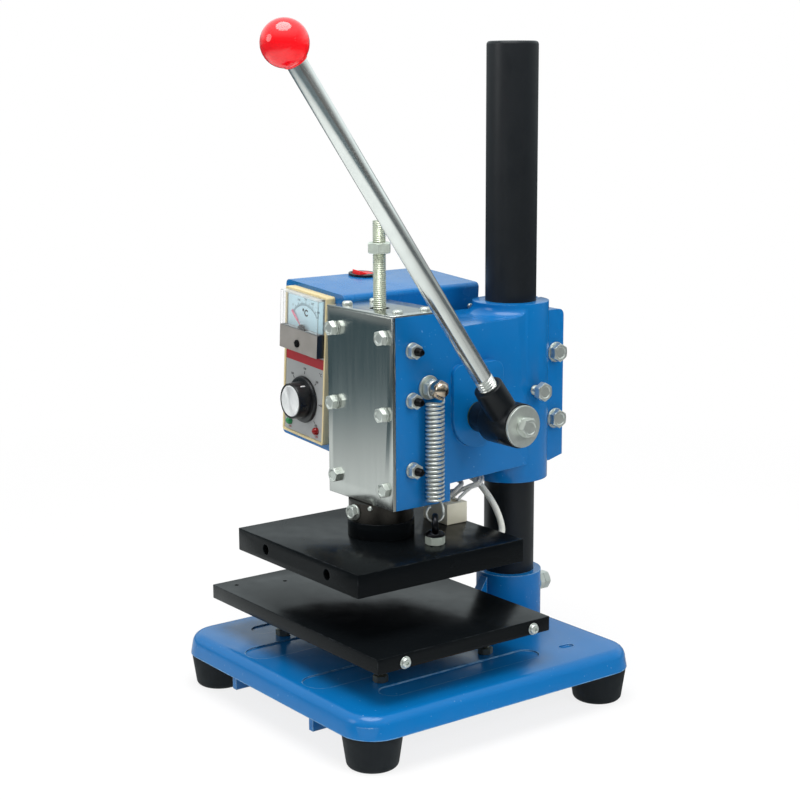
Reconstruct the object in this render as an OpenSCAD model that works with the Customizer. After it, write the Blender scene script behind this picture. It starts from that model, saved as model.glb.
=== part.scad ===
// Hot foil stamping machine: a hand lever turns a pinion that drives a heated plate down onto a table.
// Millimetres. +Z is up, +X is the operator's right, and the front faces -Y.

/* [Base] */
// Width of the base, left to right
base_width = 252; // [240:1:290]
// From the column axis to the front edge of the base
base_front = 234; // [228:1:270]
// From the column axis to the back edge of the base
base_back = 26; // [24:1:60]
// Height of the base rim
base_thickness = 16; // [14:0.5:24]
// Corner radius of the base
base_corner_r = 26; // [20:1:32]
// Height of the rubber feet
foot_height = 26; // [18:0.5:36]
// Diameter of a foot where it meets the base
foot_top_d = 44; // [36:1:46]

/* [Column] */
// Diameter of the column
column_d = 40; // [36:0.5:44]
// Height of the column above the base
column_height = 454; // [430:1:560]
// Height of the column socket above the base
socket_height = 38; // [30:1:44]

/* [Table] */
// Width of the table, left to right
table_width = 220; // [190:1:244]
// Depth of the table, front to back
table_depth = 157; // [145:1:165]
// Thickness of the table
table_thickness = 11; // [9:0.5:16]
// Height of the table's underside above the base
table_standoff = 25.4; // [20:0.2:40]

/* [Hot plate] */
// Width of the hot plate
plate_width = 158; // [140:1:180]
// Depth of the hot plate
plate_depth = 152; // [142:1:158]
// Thickness of the hot plate
plate_thickness = 17.5; // [15:0.5:24]
// Travel of the hot plate down to the table
stroke = 34; // [22:1:44]

/* [Head] */
// Width of the ram block
head_width = 82; // [80:1:92]
// Height of the ram block
block_height = 142.5; // [136:0.5:160]
// From the column axis to the ram axis
ram_reach = 127; // [123:1:132]
// Wall of the sleeve round the column
sleeve_wall = 10; // [8:0.5:12]

/* [Rack and pinion] */
// Tooth module
tooth_module = 3; // [2.5:0.25:3.25]
// Number of pinion teeth
pinion_teeth = 22; // [20:1:24]

/* [Lever] */
// From the shaft to the middle of the ball
lever_length = 331; // [280:1:380]
// Forward lean of the lever at rest
lever_angle = 35; // [20:1:45]
// Diameter of the lever rod
lever_rod_d = 14; // [12:0.5:16]
// Diameter of the ball
ball_d = 32; // [28:1:40]

/* [Depth stop] */
// Diameter of the stop rod
stop_rod_d = 10; // [8:0.5:12]
// Height of the stop rod above the top cover
stop_rod_rise = 64.6; // [62:0.2:90]

/* [Return spring] */
// Outer diameter of the spring
spring_d = 14.5; // [13:0.5:16]
// Diameter of the spring wire
spring_wire = 2; // [1.6:0.1:2.3]
// Number of curls
spring_coils = 24; // [18:1:25]

/* [Control box] */
// Width of the box
box_width = 80; // [74:1:90]
// Depth of the box
box_depth = 132; // [126:1:140]
// Height of the box
box_height = 126; // [122:1:136]
// Sideways lean of the box against the head
box_lean = 4.2; // [0:0.2:5]
// Width of the controller frame
panel_width = 57; // [55:0.5:62]
// Height of the controller frame
panel_height = 117; // [114:0.5:118]

/* [Hidden] */
$fn = 40;

// Clearances
fit_gap = 0.05;
thread_gap = 0.1;
guide_gap = 0.15;
part_gap = 0.3;

// Colours
blue = [0.08, 0.38, 0.68];
black = [0.07, 0.07, 0.08];
dark_steel = [0.2, 0.19, 0.18];
steel = [0.75, 0.76, 0.77];
stainless = [0.66, 0.67, 0.68];
cream = [0.88, 0.82, 0.62];
red = [0.85, 0.07, 0.08];
bronze = [0.7, 0.5, 0.25];
white = [0.92, 0.92, 0.9];

// Heights, from the floor up
base_bottom = foot_height;
base_top = base_bottom + base_thickness;
column_top = base_top + column_height;
table_bottom = base_top + table_standoff;
table_top = table_bottom + table_thickness;
plate_bottom = table_top + stroke + part_gap;
plate_top = plate_bottom + plate_thickness;
ring_height = 12.8;
ring_top = plate_top + ring_height;
flange_height = 14.7;
flange_top = ring_top + flange_height;
block_bottom = flange_top + part_gap;
block_top = block_bottom + block_height;
arm_bottom = block_bottom + 13.5;
arm_top = block_top - 12;
sleeve_bottom = block_bottom - 1;
sleeve_top = block_top - 3;
web_r = 7;
cover_thickness = 1.5;
cover_top = block_top + cover_thickness;
shaft_z = block_bottom + 62.6;
stud_z = block_bottom + 88.9;

// Ram and its guide
ram_half = 20;
ram_front = 15.85;
ram_back = 29;
ram_y = -ram_reach;
ram_top = block_top - 4.5;
guide_front = ram_y - ram_front - guide_gap;
guide_back = ram_y + ram_back + 0.5;
block_back = guide_back + 4.5;
gib_thickness = 5.7;
gib_inner = ram_half + guide_gap;
gib_outer = gib_inner + gib_thickness;
guide_right = gib_outer + guide_gap;
flange_r = 24.5;
flange_flat = flange_r - 1;
flange_bolt_z = ring_top + flange_height / 2;
flange_screw_d = 3.5;
flange_screw_depth = 7;
flange_screw_turn = 34.5;
flange_screw_z = flange_top - 2.6;
spigot_r = 20;
ring_r = 25.3;

// Rack and pinion
pressure_angle = 20;
backlash = 0.3;
tooth_pitch = PI * tooth_module;
root_depth = 1.25 * tooth_module;
pitch_r = tooth_module * pinion_teeth / 2;
tip_r = pitch_r + tooth_module;
root_r = pitch_r - root_depth;
base_r = pitch_r * cos(pressure_angle);
rack_tip_y = ram_y + ram_back;
shaft_y = rack_tip_y - tooth_module + pitch_r;
pinion_half = 13;
chamber_r = tip_r + 0.75;
chamber_right = pinion_half + 2;
shaft_d = 16;

// Head
head_half = head_width / 2;
plate_gauge = 3;
sleeve_r = column_d / 2 + sleeve_wall;
right_pad = head_half + 3;
cap_r = chamber_r + 4.25;
cap_flange = 3;
cap_depth = 14;
ear_gap = 2;
ear_side = ear_gap + 12;
ear_back = sleeve_r + 13.5;
ear_low = sleeve_bottom + 10;
ear_slope = 3.5;
ear_top = sleeve_top - 9;
ear_r = 5;
clamp_washer_d = 16;
clamp_y = sqrt(sleeve_r * sleeve_r - ear_side * ear_side) + clamp_washer_d / 2 + part_gap;
head_bolt_z = sleeve_bottom + 73;
clamp_z = [sleeve_bottom + 44, sleeve_bottom + 97.5];
bolt_x = head_half - 9.5;
plate_bolt_rise = [14.5, 71, 127.5];
plate_bolt_z = [for (rise = plate_bolt_rise) block_bottom + rise];
cover_screw_y = [ram_y - 7, ram_y + 18];
gib_y = ram_y - 1.4;
gib_stub = 12.6;
gib_rise = [28.9, 80.7, 117.5];
gib_z = [for (rise = gib_rise) block_bottom + rise];
bush_r = 10;
bush_flange = 1.2;

// Fasteners: diameter, width across flats, head height
m6_d = 6;
m6_af = 10;
m6_head = 4;
m6_nut = 5;
m6_lock_nut = 2.8;
m8_d = 8;
m8_af = 13;
m8_head = 5.5;
m8_nut = 6.5;
washer_thin = 1.6;

// Base
foot_inset = foot_top_d / 2 + 1.5;
foot_recess = 12;
foot_x = base_width / 2 - foot_inset;
foot_y = [-base_front + foot_inset, base_back - foot_inset];
base_skin = 8;
base_wall = 8;
edge_r = 8;
base_draft = 1.5;
rib_x = 52;
rib_thickness = 5;
rib_drop = 13;
socket_r = column_d / 2 + 6;
socket_top = base_top + socket_height;
socket_bolt_drop = 17;
socket_bolt_z = socket_top - socket_bolt_drop;
socket_pad = socket_r + 2;
recess_depth = 1;
recess_x = 39;
recess_width = 28;
recess_front = -base_front + 10.5;
recess_back = -90;
outer_recess_x = 85;
outer_recess_width = 20;
outer_recess_front = -base_front + 44;
outer_recess_back = -45;
dimple_x = 90;
dimple_y = -25;
dimple_size = [7, 13];
dimple_depth = 1.5;

// Table and hot plate
table_y = ram_y - 5.5;
table_front = table_y - table_depth / 2;
table_back = table_y + table_depth / 2;
stud_x = 64.5;
stud_sink = base_skin - 2;
stud_y = [table_y - 43, table_y + 55];
side_screw_z = table_bottom + 0.4 * table_thickness;
side_screw_y = [table_front + 23.5, table_back - 16];
plate_y = ram_y - 2;
plate_front = plate_y - plate_depth / 2;
plate_back = plate_y + plate_depth / 2;
heater_x = 40.5;
heater_d = 8;
heater_z = plate_bottom + plate_thickness / 2;
heater_recess = 10;
terminal_size = [30, 20, 16.5];
terminal_x = -0.5;
terminal_top = plate_top + terminal_size[2];
terminal_y = plate_back - terminal_size[1] / 2 - 1.8;

// Lever
lever_x = right_pad + 35;
hub_start = right_pad + bush_flange + 0.5;
hub_step = right_pad + 18;
hub_end = right_pad + 49;
hub_inner_d = 24;
hub_outer_d = 33;
hub_mouth = 36;
rod_seat = 17;
shaft_end = hub_end - 0.5;
washer_gauge = 2.5;
hub_washer_d = 31;
hub_bolt_washer_d = 14;
hub_bolt_washer = 2;
hub_bolt_length = 20;
spigot_d = 10;

// Depth stop
stop_nut_af = 1.6 * stop_rod_d;
stop_nut_height = 0.8 * stop_rod_d;
stop_reserve = 6.7;
stop_nut_z = cover_top + stroke + stop_reserve;
stop_rod_top = cover_top + stop_rod_rise;

// Return spring
spring_r = (spring_d - spring_wire) / 2;
spring_room = 0.75;
spring_x = head_half + spring_d / 2 + spring_room;
spring_y = ram_y + 13.6;
spring_stud_d = 2 * spring_r - spring_wire - 2.5;
stud_root = 10;
hook_out = spring_x - head_half;
hook_room = 1.4;
acorn_start = hook_out + spring_wire / 2 + part_gap + hook_room;
acorn_hex = 5.2;
acorn_r = m8_af / 2 - 0.6;
acorn_dome = 4;
eye_root = 5.5;
eye_wire = 4;
eye_r = 5.5;
hook_turn = 53;
hook_steps = 8;
hook_sweep = 240;
hook_mid_r = spring_r * cos(hook_sweep / hook_steps / 2);
eye_z = plate_top + 9.35 + eye_r;
hook_low_z = eye_z + eye_r - eye_wire / 2 - part_gap - spring_wire / 2 + hook_mid_r;
hook_high_z = stud_z - (hook_mid_r - spring_wire / 2 - spring_stud_d / 2) + part_gap;
coil_low_z = hook_low_z + 9.5;
coil_high_z = hook_high_z - 9.2;

// Control box
sheet = 2;
box_corner_r = 4;
box_front_y = guide_front + 13.5;
box_back_y = box_front_y + box_depth - sheet;
box_z = block_top + 6.4;
cap_top = shaft_z + cap_r;
box_x = -(head_half + cap_flange + 1.3) + tan(box_lean) * (box_z - cap_top);
panel_left = -box_width / 2 - panel_width / 2;
panel_top = -(box_height - panel_height) / 2 + 1.5;
frame_depth = 8;
frame_rim = 2;
frame_front_y = box_front_y - frame_depth;
face_y = frame_front_y + 0.8;
face_gauge = 2;
case_margin = 1.5;
case_room = 6;
case_height = min(panel_height - 2 * (frame_rim + case_margin), box_height - 2 * (sheet + case_room));
case_width = panel_width - 2 * (frame_rim + case_margin);
case_back_y = box_front_y + 45;
meter_width = panel_width - 2 * frame_rim - 1;
meter_height = 45.6;
meter_depth = 7;
meter_wall = 1.5;
meter_front_y = face_y - meter_depth;
pivot_down = 29.5;
block_down = 27.5;
needle_length = 22.5;
needle_angle = 51;
knob_down = 86;
knob_skirt_r = 18.8;
knob_body_r = 14;
knob_height = 13;
cap_disc_r = 12.5;
lamp_r = 3;
lamp_down = 107.5;
lamp_side = 18.6;
rocker_edge = 14.4;
rocker_u = -box_width + rocker_edge;
rocker_y = box_front_y + 64;
rocker_hole_r = 10;
rocker_bezel_r = 11.5;
rocker_half = 7.4;
rocker_width = 11;
rocker_tilt = 10;
rocker_pivot = -1.5;
rocker_rise = 2.5;
rocker_pin_d = 2.4;
rocker_pin = 1.5;
inlet_u = -box_width / 2;
inlet_v = -box_height + 34;
grommet_u = -22;
grommet_y = [-37, -48, -60];
grommet_drop = 4;
lug_y = [guide_front + 22, box_back_y - 14];
lug_half = 10;
lug_screw_v = [-45, -90];
box_screw_d = 5;

// The frame: the origin is on the floor under the middle of the machine's box
lean_c = cos(box_lean);
lean_s = sin(box_lean);
box_left = box_x - (box_width - box_corner_r) * lean_c - (box_height - box_corner_r) * lean_s - box_corner_r;
ball_y = shaft_y - lever_length * sin(lever_angle);
column_x = -(box_left + base_width / 2) / 2;
column_y = -(ball_y - ball_d / 2 + ear_back) / 2;
module machine() translate([column_x, column_y, 0]) children();
module box_frame() machine() translate([box_x, 0, box_z]) rotate([0, box_lean, 0]) children();
module lever_frame() machine() translate([0, shaft_y, shaft_z]) rotate([lever_angle, 0, 0]) children();

// A point of the control box, from its upper right edge
function box_point(u, y, v) = [box_x + u * lean_c + v * lean_s, y, box_z - u * lean_s + v * lean_c];
// A place on the controller, from the upper left corner of its frame
module on_panel(right, down, y) translate([panel_left + right, y, panel_top - down]) children();

// Directions: what stands up along +Z is laid along the named way
module to_right() rotate([0, 90, 0]) children();
module to_left() rotate([0, -90, 0]) children();
module to_front() rotate([90, 0, 0]) children();
module to_back() rotate([-90, 0, 0]) children();

// Shared shapes
module hexagon(af, h) cylinder(d = af / cos(30), h = h, $fn = 6);
module round_rect(size, r) {
    translate([r, 0]) square([size[0] - 2 * r, size[1]]);
    translate([0, r]) square([size[0], size[1] - 2 * r]);
    for (x = [r, size[0] - r], y = [r, size[1] - r]) translate([x, y]) circle(r = r);
}
module hex_bolt(d, af, head, length) {
    hexagon(af, head);
    translate([0, 0, -length]) cylinder(d = d, h = length + head / 2);
}
module hex_nut(d, af, h) {
    difference() {
        hexagon(af, h);
        translate([0, 0, -1]) cylinder(d = d + 2 * thread_gap, h = h + 2);
    }
}
module washer(inner_d, outer_d, h) {
    difference() {
        cylinder(d = outer_d, h = h);
        translate([0, 0, -1]) cylinder(d = inner_d + 2 * thread_gap, h = h + 2);
    }
}
module button_screw(d, head_d, head_h, length) {
    difference() {
        union() {
            cylinder(d1 = head_d, d2 = head_d * 0.7, h = head_h);
            translate([0, 0, -length]) cylinder(d = d, h = length + head_h / 2);
        }
        translate([0, 0, head_h * 0.4]) hexagon(d * 0.6, head_h);
    }
}
module bore(d, h) translate([0, 0, -h]) cylinder(d = d + 2 * thread_gap, h = h + 1);

// Swept tubes: rings square to a path, joined by triangles
function unit(v) = v / norm(v);
function tangents(p) = [for (i = [0 : len(p) - 1]) unit(p[min(i + 1, len(p) - 1)] - p[max(i - 1, 0)])];
function square_to(n, t) = unit(n - (n * t) * t);
function normals(t, seed) = [
    for (i = 0, n = square_to(seed, t[0]); i < len(t);
         n = square_to(n, t[min(i + 1, len(t) - 1)]), i = i + 1) n
];
function ring(c, t, n, r, sides) = [
    for (k = [0 : sides - 1]) c + r * (cos(360 * k / sides) * n + sin(360 * k / sides) * cross(t, n))
];
module tube(path, r, sides, seed) {
    t = tangents(path);
    n = normals(t, seed);
    last = len(path) - 1;
    points = [for (i = [0 : last]) each ring(path[i], t[i], n[i], r, sides)];
    sides_a = [for (i = [0 : last - 1], k = [0 : sides - 1])
        [i * sides + k, (i + 1) * sides + k, (i + 1) * sides + (k + 1) % sides]];
    sides_b = [for (i = [0 : last - 1], k = [0 : sides - 1])
        [i * sides + k, (i + 1) * sides + (k + 1) % sides, i * sides + (k + 1) % sides]];
    start_cap = [for (k = [1 : sides - 2]) [0, k, k + 1]];
    end_cap = [for (k = [1 : sides - 2]) [last * sides, last * sides + k + 1, last * sides + k]];
    polyhedron(points, concat(sides_a, sides_b, start_cap, end_cap));
}
// A smooth path through hand-placed points
function between(a, b, c, d, t) = 0.5 * (2 * b + (c - a) * t + (2 * a - 5 * b + 4 * c - d) * t * t
    + (3 * b - a - 3 * c + d) * t * t * t);
function smooth(p, steps) = [
    p[0],
    for (i = [1 : len(p) - 3], s = [0 : steps - 1]) between(p[i - 1], p[i], p[i + 1], p[i + 2], s / steps),
    p[len(p) - 2],
    p[len(p) - 1]
];

// Base
module corner_puck(r, z0, z1) {
    flat_r = r - base_draft - edge_r;
    edge = [for (a = [0 : 15 : 90]) [flat_r + edge_r * cos(a), z1 - edge_r + edge_r * sin(a)]];
    rotate_extrude($fn = 32) polygon(concat([[0, z0], [r, z0]], edge, [[0, z1]]));
}
module base_slab() {
    side = base_width / 2 - base_corner_r;
    hull() {
        for (x = [-side, side], y = [-base_front + base_corner_r, base_back - base_corner_r])
            translate([x, y, 0]) corner_puck(base_corner_r, base_bottom, base_top);
    }
}
module base_hollow() {
    depth = base_front + base_back - 2 * base_wall;
    translate([-base_width / 2 + base_wall, -base_front + base_wall, base_bottom - 1])
        linear_extrude(base_thickness - base_skin + 1)
            round_rect([base_width - 2 * base_wall, depth], base_corner_r - base_wall);
}
module rib_profile() {
    polygon([[-base_front + 6, base_bottom - rib_drop], [base_back - 14, base_bottom - rib_drop],
             [base_back - 4, base_bottom], [base_back - 4, base_top - base_skin + 1],
             [-base_front + 6, base_top - base_skin + 1]]);
}
module socket_web() {
    translate([-4, 0, 0]) rotate([90, 0, 90]) linear_extrude(8)
        polygon([[-socket_r - 22, base_top - 1], [-socket_r + 4, base_top - 1],
                 [-socket_r + 4, socket_top - 3], [-socket_r, socket_top - 3]]);
}
// A shallow pocket in the top, with round ends and its middle line at x
module top_pocket(x, width, front, back, depth) {
    translate([x - width / 2, front, base_top - depth]) linear_extrude(depth + 1)
        round_rect([width, back - front], width / 2 - 0.01);
}
module base_casting() machine() color(blue) {
    difference() {
        union() {
            difference() {
                base_slab();
                base_hollow();
            }
            for (x = [-foot_x, foot_x], y = foot_y) translate([x, y, base_bottom])
                cylinder(d = foot_top_d - 2, h = base_thickness - base_skin + 1);
            for (x = [-rib_x, rib_x]) translate([x - rib_thickness / 2, 0, 0])
                rotate([90, 0, 90]) linear_extrude(rib_thickness) rib_profile();
            translate([0, 0, base_bottom]) cylinder(r = socket_r, h = socket_top - base_bottom);
            socket_web();
            translate([0, socket_r - 3, socket_bolt_z]) to_back()
                cylinder(d = 17, h = socket_pad - socket_r + 3);
        }
        translate([0, 0, base_bottom + 6]) cylinder(r = column_d / 2 + fit_gap, h = socket_top);
        translate([0, socket_pad, socket_bolt_z]) to_back() bore(m8_d, socket_pad - column_d / 2 + 2);
        for (s = [-1, 1]) {
            top_pocket(s * recess_x, recess_width, recess_front, recess_back, recess_depth);
            top_pocket(s * outer_recess_x, outer_recess_width, outer_recess_front, outer_recess_back,
                       recess_depth);
            top_pocket(s * dimple_x, dimple_size[0], dimple_y, dimple_y + dimple_size[1], dimple_depth);
        }
        for (x = [-stud_x, stud_x], y = stud_y) translate([x, y, base_top]) bore(m6_d, stud_sink + part_gap);
        for (x = [-foot_x, foot_x], y = foot_y) translate([x, y, base_bottom - 1])
            cylinder(d = m6_d + 2 * thread_gap, h = 11);
    }
}
module rubber_feet() machine() color(black) {
    bottom_r = foot_top_d / 2 - 3.5;
    hole_r = m6_d / 2 + thread_gap;
    for (x = [-foot_x, foot_x], y = foot_y) translate([x, y, 0])
        rotate_extrude() polygon([[7.5, 0], [bottom_r - 2, 0], [bottom_r, 2], [foot_top_d / 2, foot_height],
                                  [hole_r, foot_height], [hole_r, foot_recess], [7.5, foot_recess]]);
}
module foot_screws() machine() color(steel) {
    for (x = [-foot_x, foot_x], y = foot_y) translate([x, y, foot_recess]) mirror([0, 0, 1])
        button_screw(m6_d, 12, 4, foot_height - foot_recess + 9);
}
module column() machine() color(black) {
    chamfer = 1.5;
    translate([0, 0, base_bottom + 6]) rotate_extrude()
        polygon([[0, 0], [column_d / 2, 0], [column_d / 2, column_top - base_bottom - 6 - chamfer],
                 [column_d / 2 - chamfer, column_top - base_bottom - 6], [0, column_top - base_bottom - 6]]);
}
module socket_bolt() machine() color(steel) translate([0, socket_pad, socket_bolt_z]) to_back() {
    translate([0, 0, m8_nut]) hex_bolt(m8_d, m8_af, m8_head, socket_pad - column_d / 2 - fit_gap + m8_nut);
    hex_nut(m8_d, m8_af, m8_nut);
}

// Table
module table() machine() color(black) {
    difference() {
        translate([-table_width / 2, table_front, table_bottom])
            cube([table_width, table_depth, table_thickness]);
        for (x = [-stud_x, stud_x], y = stud_y) translate([x, y, table_bottom - 1])
            cylinder(d = m6_d + 2 * thread_gap, h = 7);
        for (y = side_screw_y) translate([table_width / 2, y, side_screw_z]) to_right() bore(4, 12);
        for (p = [[-97, table_front + 14], [-83, table_front + 50]])
            translate([p[0] * table_width / 220, p[1], table_top]) bore(3, 6);
    }
}
module table_studs() machine() color(steel) {
    for (x = [-stud_x, stud_x], y = stud_y) translate([x, y, 0]) {
        translate([0, 0, base_top - stud_sink]) cylinder(d = m6_d, h = table_standoff + stud_sink + 5);
        for (z = [base_top, table_bottom - m6_nut]) translate([0, 0, z]) hex_nut(m6_d, m6_af, m6_nut);
    }
}
module table_screws() machine() color(steel) {
    for (y = side_screw_y) translate([table_width / 2, y, side_screw_z]) to_right() {
        washer(4, 9, 0.8);
        translate([0, 0, 0.8]) button_screw(4, 7.6, 2.2, 10);
    }
}

// Head
// The arm's sides run from the block's corners into the sleeve
module arm_outline() {
    polygon([[-head_half, block_back - 2], [head_half, block_back - 2], [head_half, block_back],
             [sleeve_r - 1, -5], [1 - sleeve_r, -5], [-head_half, block_back]]);
}
// A hollow fillet where the top of the arm meets the sleeve
module sleeve_web() {
    curve = [for (a = [0 : 15 : 90]) [sleeve_r + web_r * (1 - sin(a)), arm_top + web_r * (1 - cos(a))]];
    intersection() {
        rotate_extrude($fn = 64)
            polygon(concat([[sleeve_r - 1, arm_top - 1], [sleeve_r + web_r, arm_top - 1]], curve,
                           [[sleeve_r - 1, arm_top + web_r]]));
        translate([0, 0, arm_bottom]) linear_extrude(arm_top - arm_bottom + web_r) arm_outline();
    }
}
module pad_outline(r, rise) {
    circle(r = r);
    translate([-rise + 8, -r]) square([rise - 8, 2 * r]);
    translate([-rise, -r + 8]) square([rise, 2 * r - 16]);
    for (y = [-r + 8, r - 8]) translate([-rise + 8, y]) circle(r = 8);
}
module right_boss() {
    translate([head_half - 14, shaft_y, shaft_z]) to_right()
        linear_extrude(right_pad - head_half + 14) pad_outline(24, 40);
}
module left_boss() {
    translate([-head_half, shaft_y, shaft_z]) to_right() cylinder(r = cap_r + 1, h = 16, $fn = 64);
}
module ear_outline() {
    middle = [ear_back - ear_r, ear_top - ear_r];
    corner = [for (a = [0 : 15 : 90]) middle + ear_r * [cos(a), sin(a)]];
    low_side = [[0, ear_low], [sleeve_r, ear_low], [ear_back, ear_low + ear_slope]];
    polygon(concat(low_side, corner, [[0, ear_top]]));
}
// Lugs that end on the leaning side of the control box
module box_lugs() {
    translate([box_x, 0, box_z]) rotate([0, box_lean, 0]) {
        for (y = lug_y, v = lug_screw_v) translate([0, y, v]) to_right() cylinder(r = lug_half, h = 18);
    }
}
module column_bore() {
    translate([0, 0, sleeve_bottom - 1])
        cylinder(r = column_d / 2 + fit_gap, h = sleeve_top - sleeve_bottom + 2);
}
module head_solid() {
    translate([-head_half, guide_front, block_bottom])
        cube([head_width, block_back - guide_front, block_height]);
    translate([0, 0, arm_bottom]) linear_extrude(arm_top - arm_bottom) arm_outline();
    sleeve_web();
    translate([0, 0, sleeve_bottom]) cylinder(r = sleeve_r, h = sleeve_top - sleeve_bottom, $fn = 64);
    translate([-ear_side, 0, 0]) rotate([90, 0, 90]) linear_extrude(2 * ear_side) ear_outline();
    right_boss();
    left_boss();
    box_lugs();
}
module head_casting() machine() color(blue) {
    difference() {
        head_solid();
        translate([-ram_half - guide_gap, guide_front - 1, block_bottom - 1])
            cube([guide_right + ram_half + guide_gap, guide_back - guide_front + 1, block_height + 2]);
        translate([-head_half - 1, shaft_y, shaft_z]) to_right()
            cylinder(r = chamber_r, h = head_half + 1 + chamber_right, $fn = 64);
        translate([0, shaft_y, shaft_z]) to_right() cylinder(r = bush_r + thread_gap, h = right_pad + 1);
        column_bore();
        translate([-ear_gap, 0, sleeve_bottom - 1])
            cube([2 * ear_gap, ear_back + 1, sleeve_top - sleeve_bottom + 2]);
        for (z = clamp_z) translate([ear_side, clamp_y, z]) to_right() bore(m8_d, 2 * ear_side + 1);
        translate([sleeve_r, 0, head_bolt_z]) to_right() bore(m8_d, sleeve_wall + 2);
        for (x = [-bolt_x, bolt_x], z = plate_bolt_z)
            translate([x, guide_front, z]) to_front() bore(m6_d, 16);
        for (x = [-bolt_x, bolt_x], y = cover_screw_y) translate([x, y, block_top]) bore(4, 9);
        for (z = gib_z) translate([head_half, gib_y, z]) to_right() bore(m6_d, head_half - guide_right + 1);
        translate([head_half, spring_y, stud_z]) to_right() bore(spring_stud_d, stud_root + 1);
        for (a = [45 : 90 : 315]) translate([-head_half, shaft_y, shaft_z]) to_left() rotate(a)
            translate([chamber_r + 2.2, 0, 0]) bore(2.5, 8);
        translate([box_x, 0, box_z]) rotate([0, box_lean, 0])
            for (y = lug_y, v = lug_screw_v) translate([0, y, v]) to_left() bore(box_screw_d, 10);
    }
}
module front_plate() machine() color(stainless) {
    difference() {
        translate([-head_half, guide_front - plate_gauge, block_bottom])
            cube([head_width, plate_gauge, block_height]);
        for (x = [-bolt_x, bolt_x], z = plate_bolt_z) translate([x, guide_front - plate_gauge, z])
            to_front() bore(m6_d, plate_gauge + 1);
    }
}
// The lower pair of bolts lies flat, the others stand on a lock nut
module plate_bolts() machine() color(steel) {
    for (x = [-bolt_x, bolt_x], i = [0 : 2]) {
        lift = i == 0 ? 0 : m6_lock_nut + part_gap;
        translate([x, guide_front - plate_gauge - lift, plate_bolt_z[i]]) to_front()
            rotate(15) hex_bolt(m6_d, m6_af, m6_head, plate_gauge + 12 + lift);
    }
    for (x = [-bolt_x, bolt_x], i = [1, 2]) translate([x, guide_front - plate_gauge, plate_bolt_z[i]])
        to_front() hex_nut(m6_d, m6_af, m6_lock_nut);
}
module top_cover() machine() color(stainless) {
    depth = block_back - guide_front + plate_gauge;
    difference() {
        translate([-head_half, guide_front - plate_gauge, block_top])
            cube([head_width, depth, cover_thickness]);
        translate([0, ram_y, block_top - 1]) cylinder(d = stop_rod_d + 5, h = cover_thickness + 2);
        for (x = [-bolt_x, bolt_x], y = cover_screw_y)
            translate([x, y, cover_top]) bore(4, cover_thickness + 1);
    }
}
module cover_screws() machine() color(steel) {
    for (x = [-bolt_x, bolt_x], y = cover_screw_y) translate([x, y, cover_top]) button_screw(4, 8, 2.6, 8);
}
module gib_strip() machine() color(dark_steel) {
    translate([gib_inner, ram_y - ram_front, block_bottom + 4]) cube([gib_thickness, 30, block_height - 10]);
}
module gib_screws() machine() color(black) {
    for (z = gib_z) translate([gib_outer, gib_y, z]) to_right() difference() {
        cylinder(d = m6_d, h = head_half - gib_outer + gib_stub);
        translate([0, 0, head_half - gib_outer + gib_stub - 3]) hexagon(3, 4);
    }
}
module gib_nuts() machine() color(steel) {
    for (z = gib_z) translate([head_half, gib_y, z]) to_right() {
        washer(m6_d, 12, washer_thin);
        translate([0, 0, washer_thin]) hex_nut(m6_d, m6_af, m6_nut);
    }
}
module clamp_bolts() machine() color(steel) {
    for (z = clamp_z) translate([0, clamp_y, z]) {
        translate([ear_side, 0, 0]) to_right() {
            washer(m8_d, clamp_washer_d, washer_thin);
            translate([0, 0, washer_thin])
                hex_bolt(m8_d, m8_af, m8_head, 2 * ear_side + 2 * washer_thin + m8_nut + 2);
        }
        translate([-ear_side, 0, 0]) to_left() {
            washer(m8_d, clamp_washer_d, washer_thin);
            translate([0, 0, washer_thin]) hex_nut(m8_d, m8_af, m8_nut);
        }
    }
}
module head_set_bolt() machine() color(steel) {
    translate([sleeve_r + 7, 0, head_bolt_z]) to_right()
        hex_bolt(m8_d, m8_af, m8_head, sleeve_r + 7 - column_d / 2 - part_gap);
}
// The hook of the spring lies between the nut and the acorn nut
module spring_stud() machine() color(steel) translate([head_half, spring_y, stud_z]) to_right() {
    translate([0, 0, -stud_root]) cylinder(d = spring_stud_d, h = stud_root + acorn_start + acorn_hex - 0.8);
    washer(spring_stud_d, 18, washer_thin);
    translate([0, 0, washer_thin])
        hex_nut(spring_stud_d, m8_af, hook_out - spring_wire / 2 - part_gap - washer_thin);
    translate([0, 0, acorn_start]) difference() {
        union() {
            hexagon(m8_af, acorn_hex);
            translate([0, 0, acorn_hex]) rotate_extrude() intersection() {
                scale([1, acorn_dome / acorn_r]) circle(r = acorn_r);
                square([acorn_r, acorn_dome]);
            }
        }
        translate([0, 0, -1]) cylinder(d = spring_stud_d + 2 * thread_gap, h = acorn_hex + 0.5);
    }
}
module shaft_bush() machine() color(bronze) translate([chamber_right + 0.5, shaft_y, shaft_z]) to_right() {
    length = right_pad - chamber_right - 0.5;
    difference() {
        union() {
            cylinder(r = bush_r, h = length);
            translate([0, 0, length]) cylinder(r = bush_r + 1, h = bush_flange);
        }
        translate([0, 0, -1]) cylinder(r = shaft_d / 2 + fit_gap, h = length + bush_flange + 2);
    }
}
module shaft_cap() machine() color(dark_steel) translate([-head_half, shaft_y, shaft_z]) to_left() {
    difference() {
        union() {
            cylinder(r = cap_r, h = cap_flange, $fn = 64);
            translate([0, 0, -cap_depth]) cylinder(r = chamber_r - fit_gap, h = cap_depth + 1, $fn = 64);
        }
        translate([0, 0, -cap_depth - 1]) cylinder(r = shaft_d / 2 + fit_gap, h = cap_depth + 2);
        for (a = [45 : 90 : 315]) rotate(a) translate([chamber_r + 2.2, 0, -1]) {
            cylinder(d = 2.5 + 2 * thread_gap, h = cap_flange + 2);
            translate([0, 0, cap_flange]) cylinder(d1 = 2.7, d2 = 4.7, h = 1.01);
        }
    }
}
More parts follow.
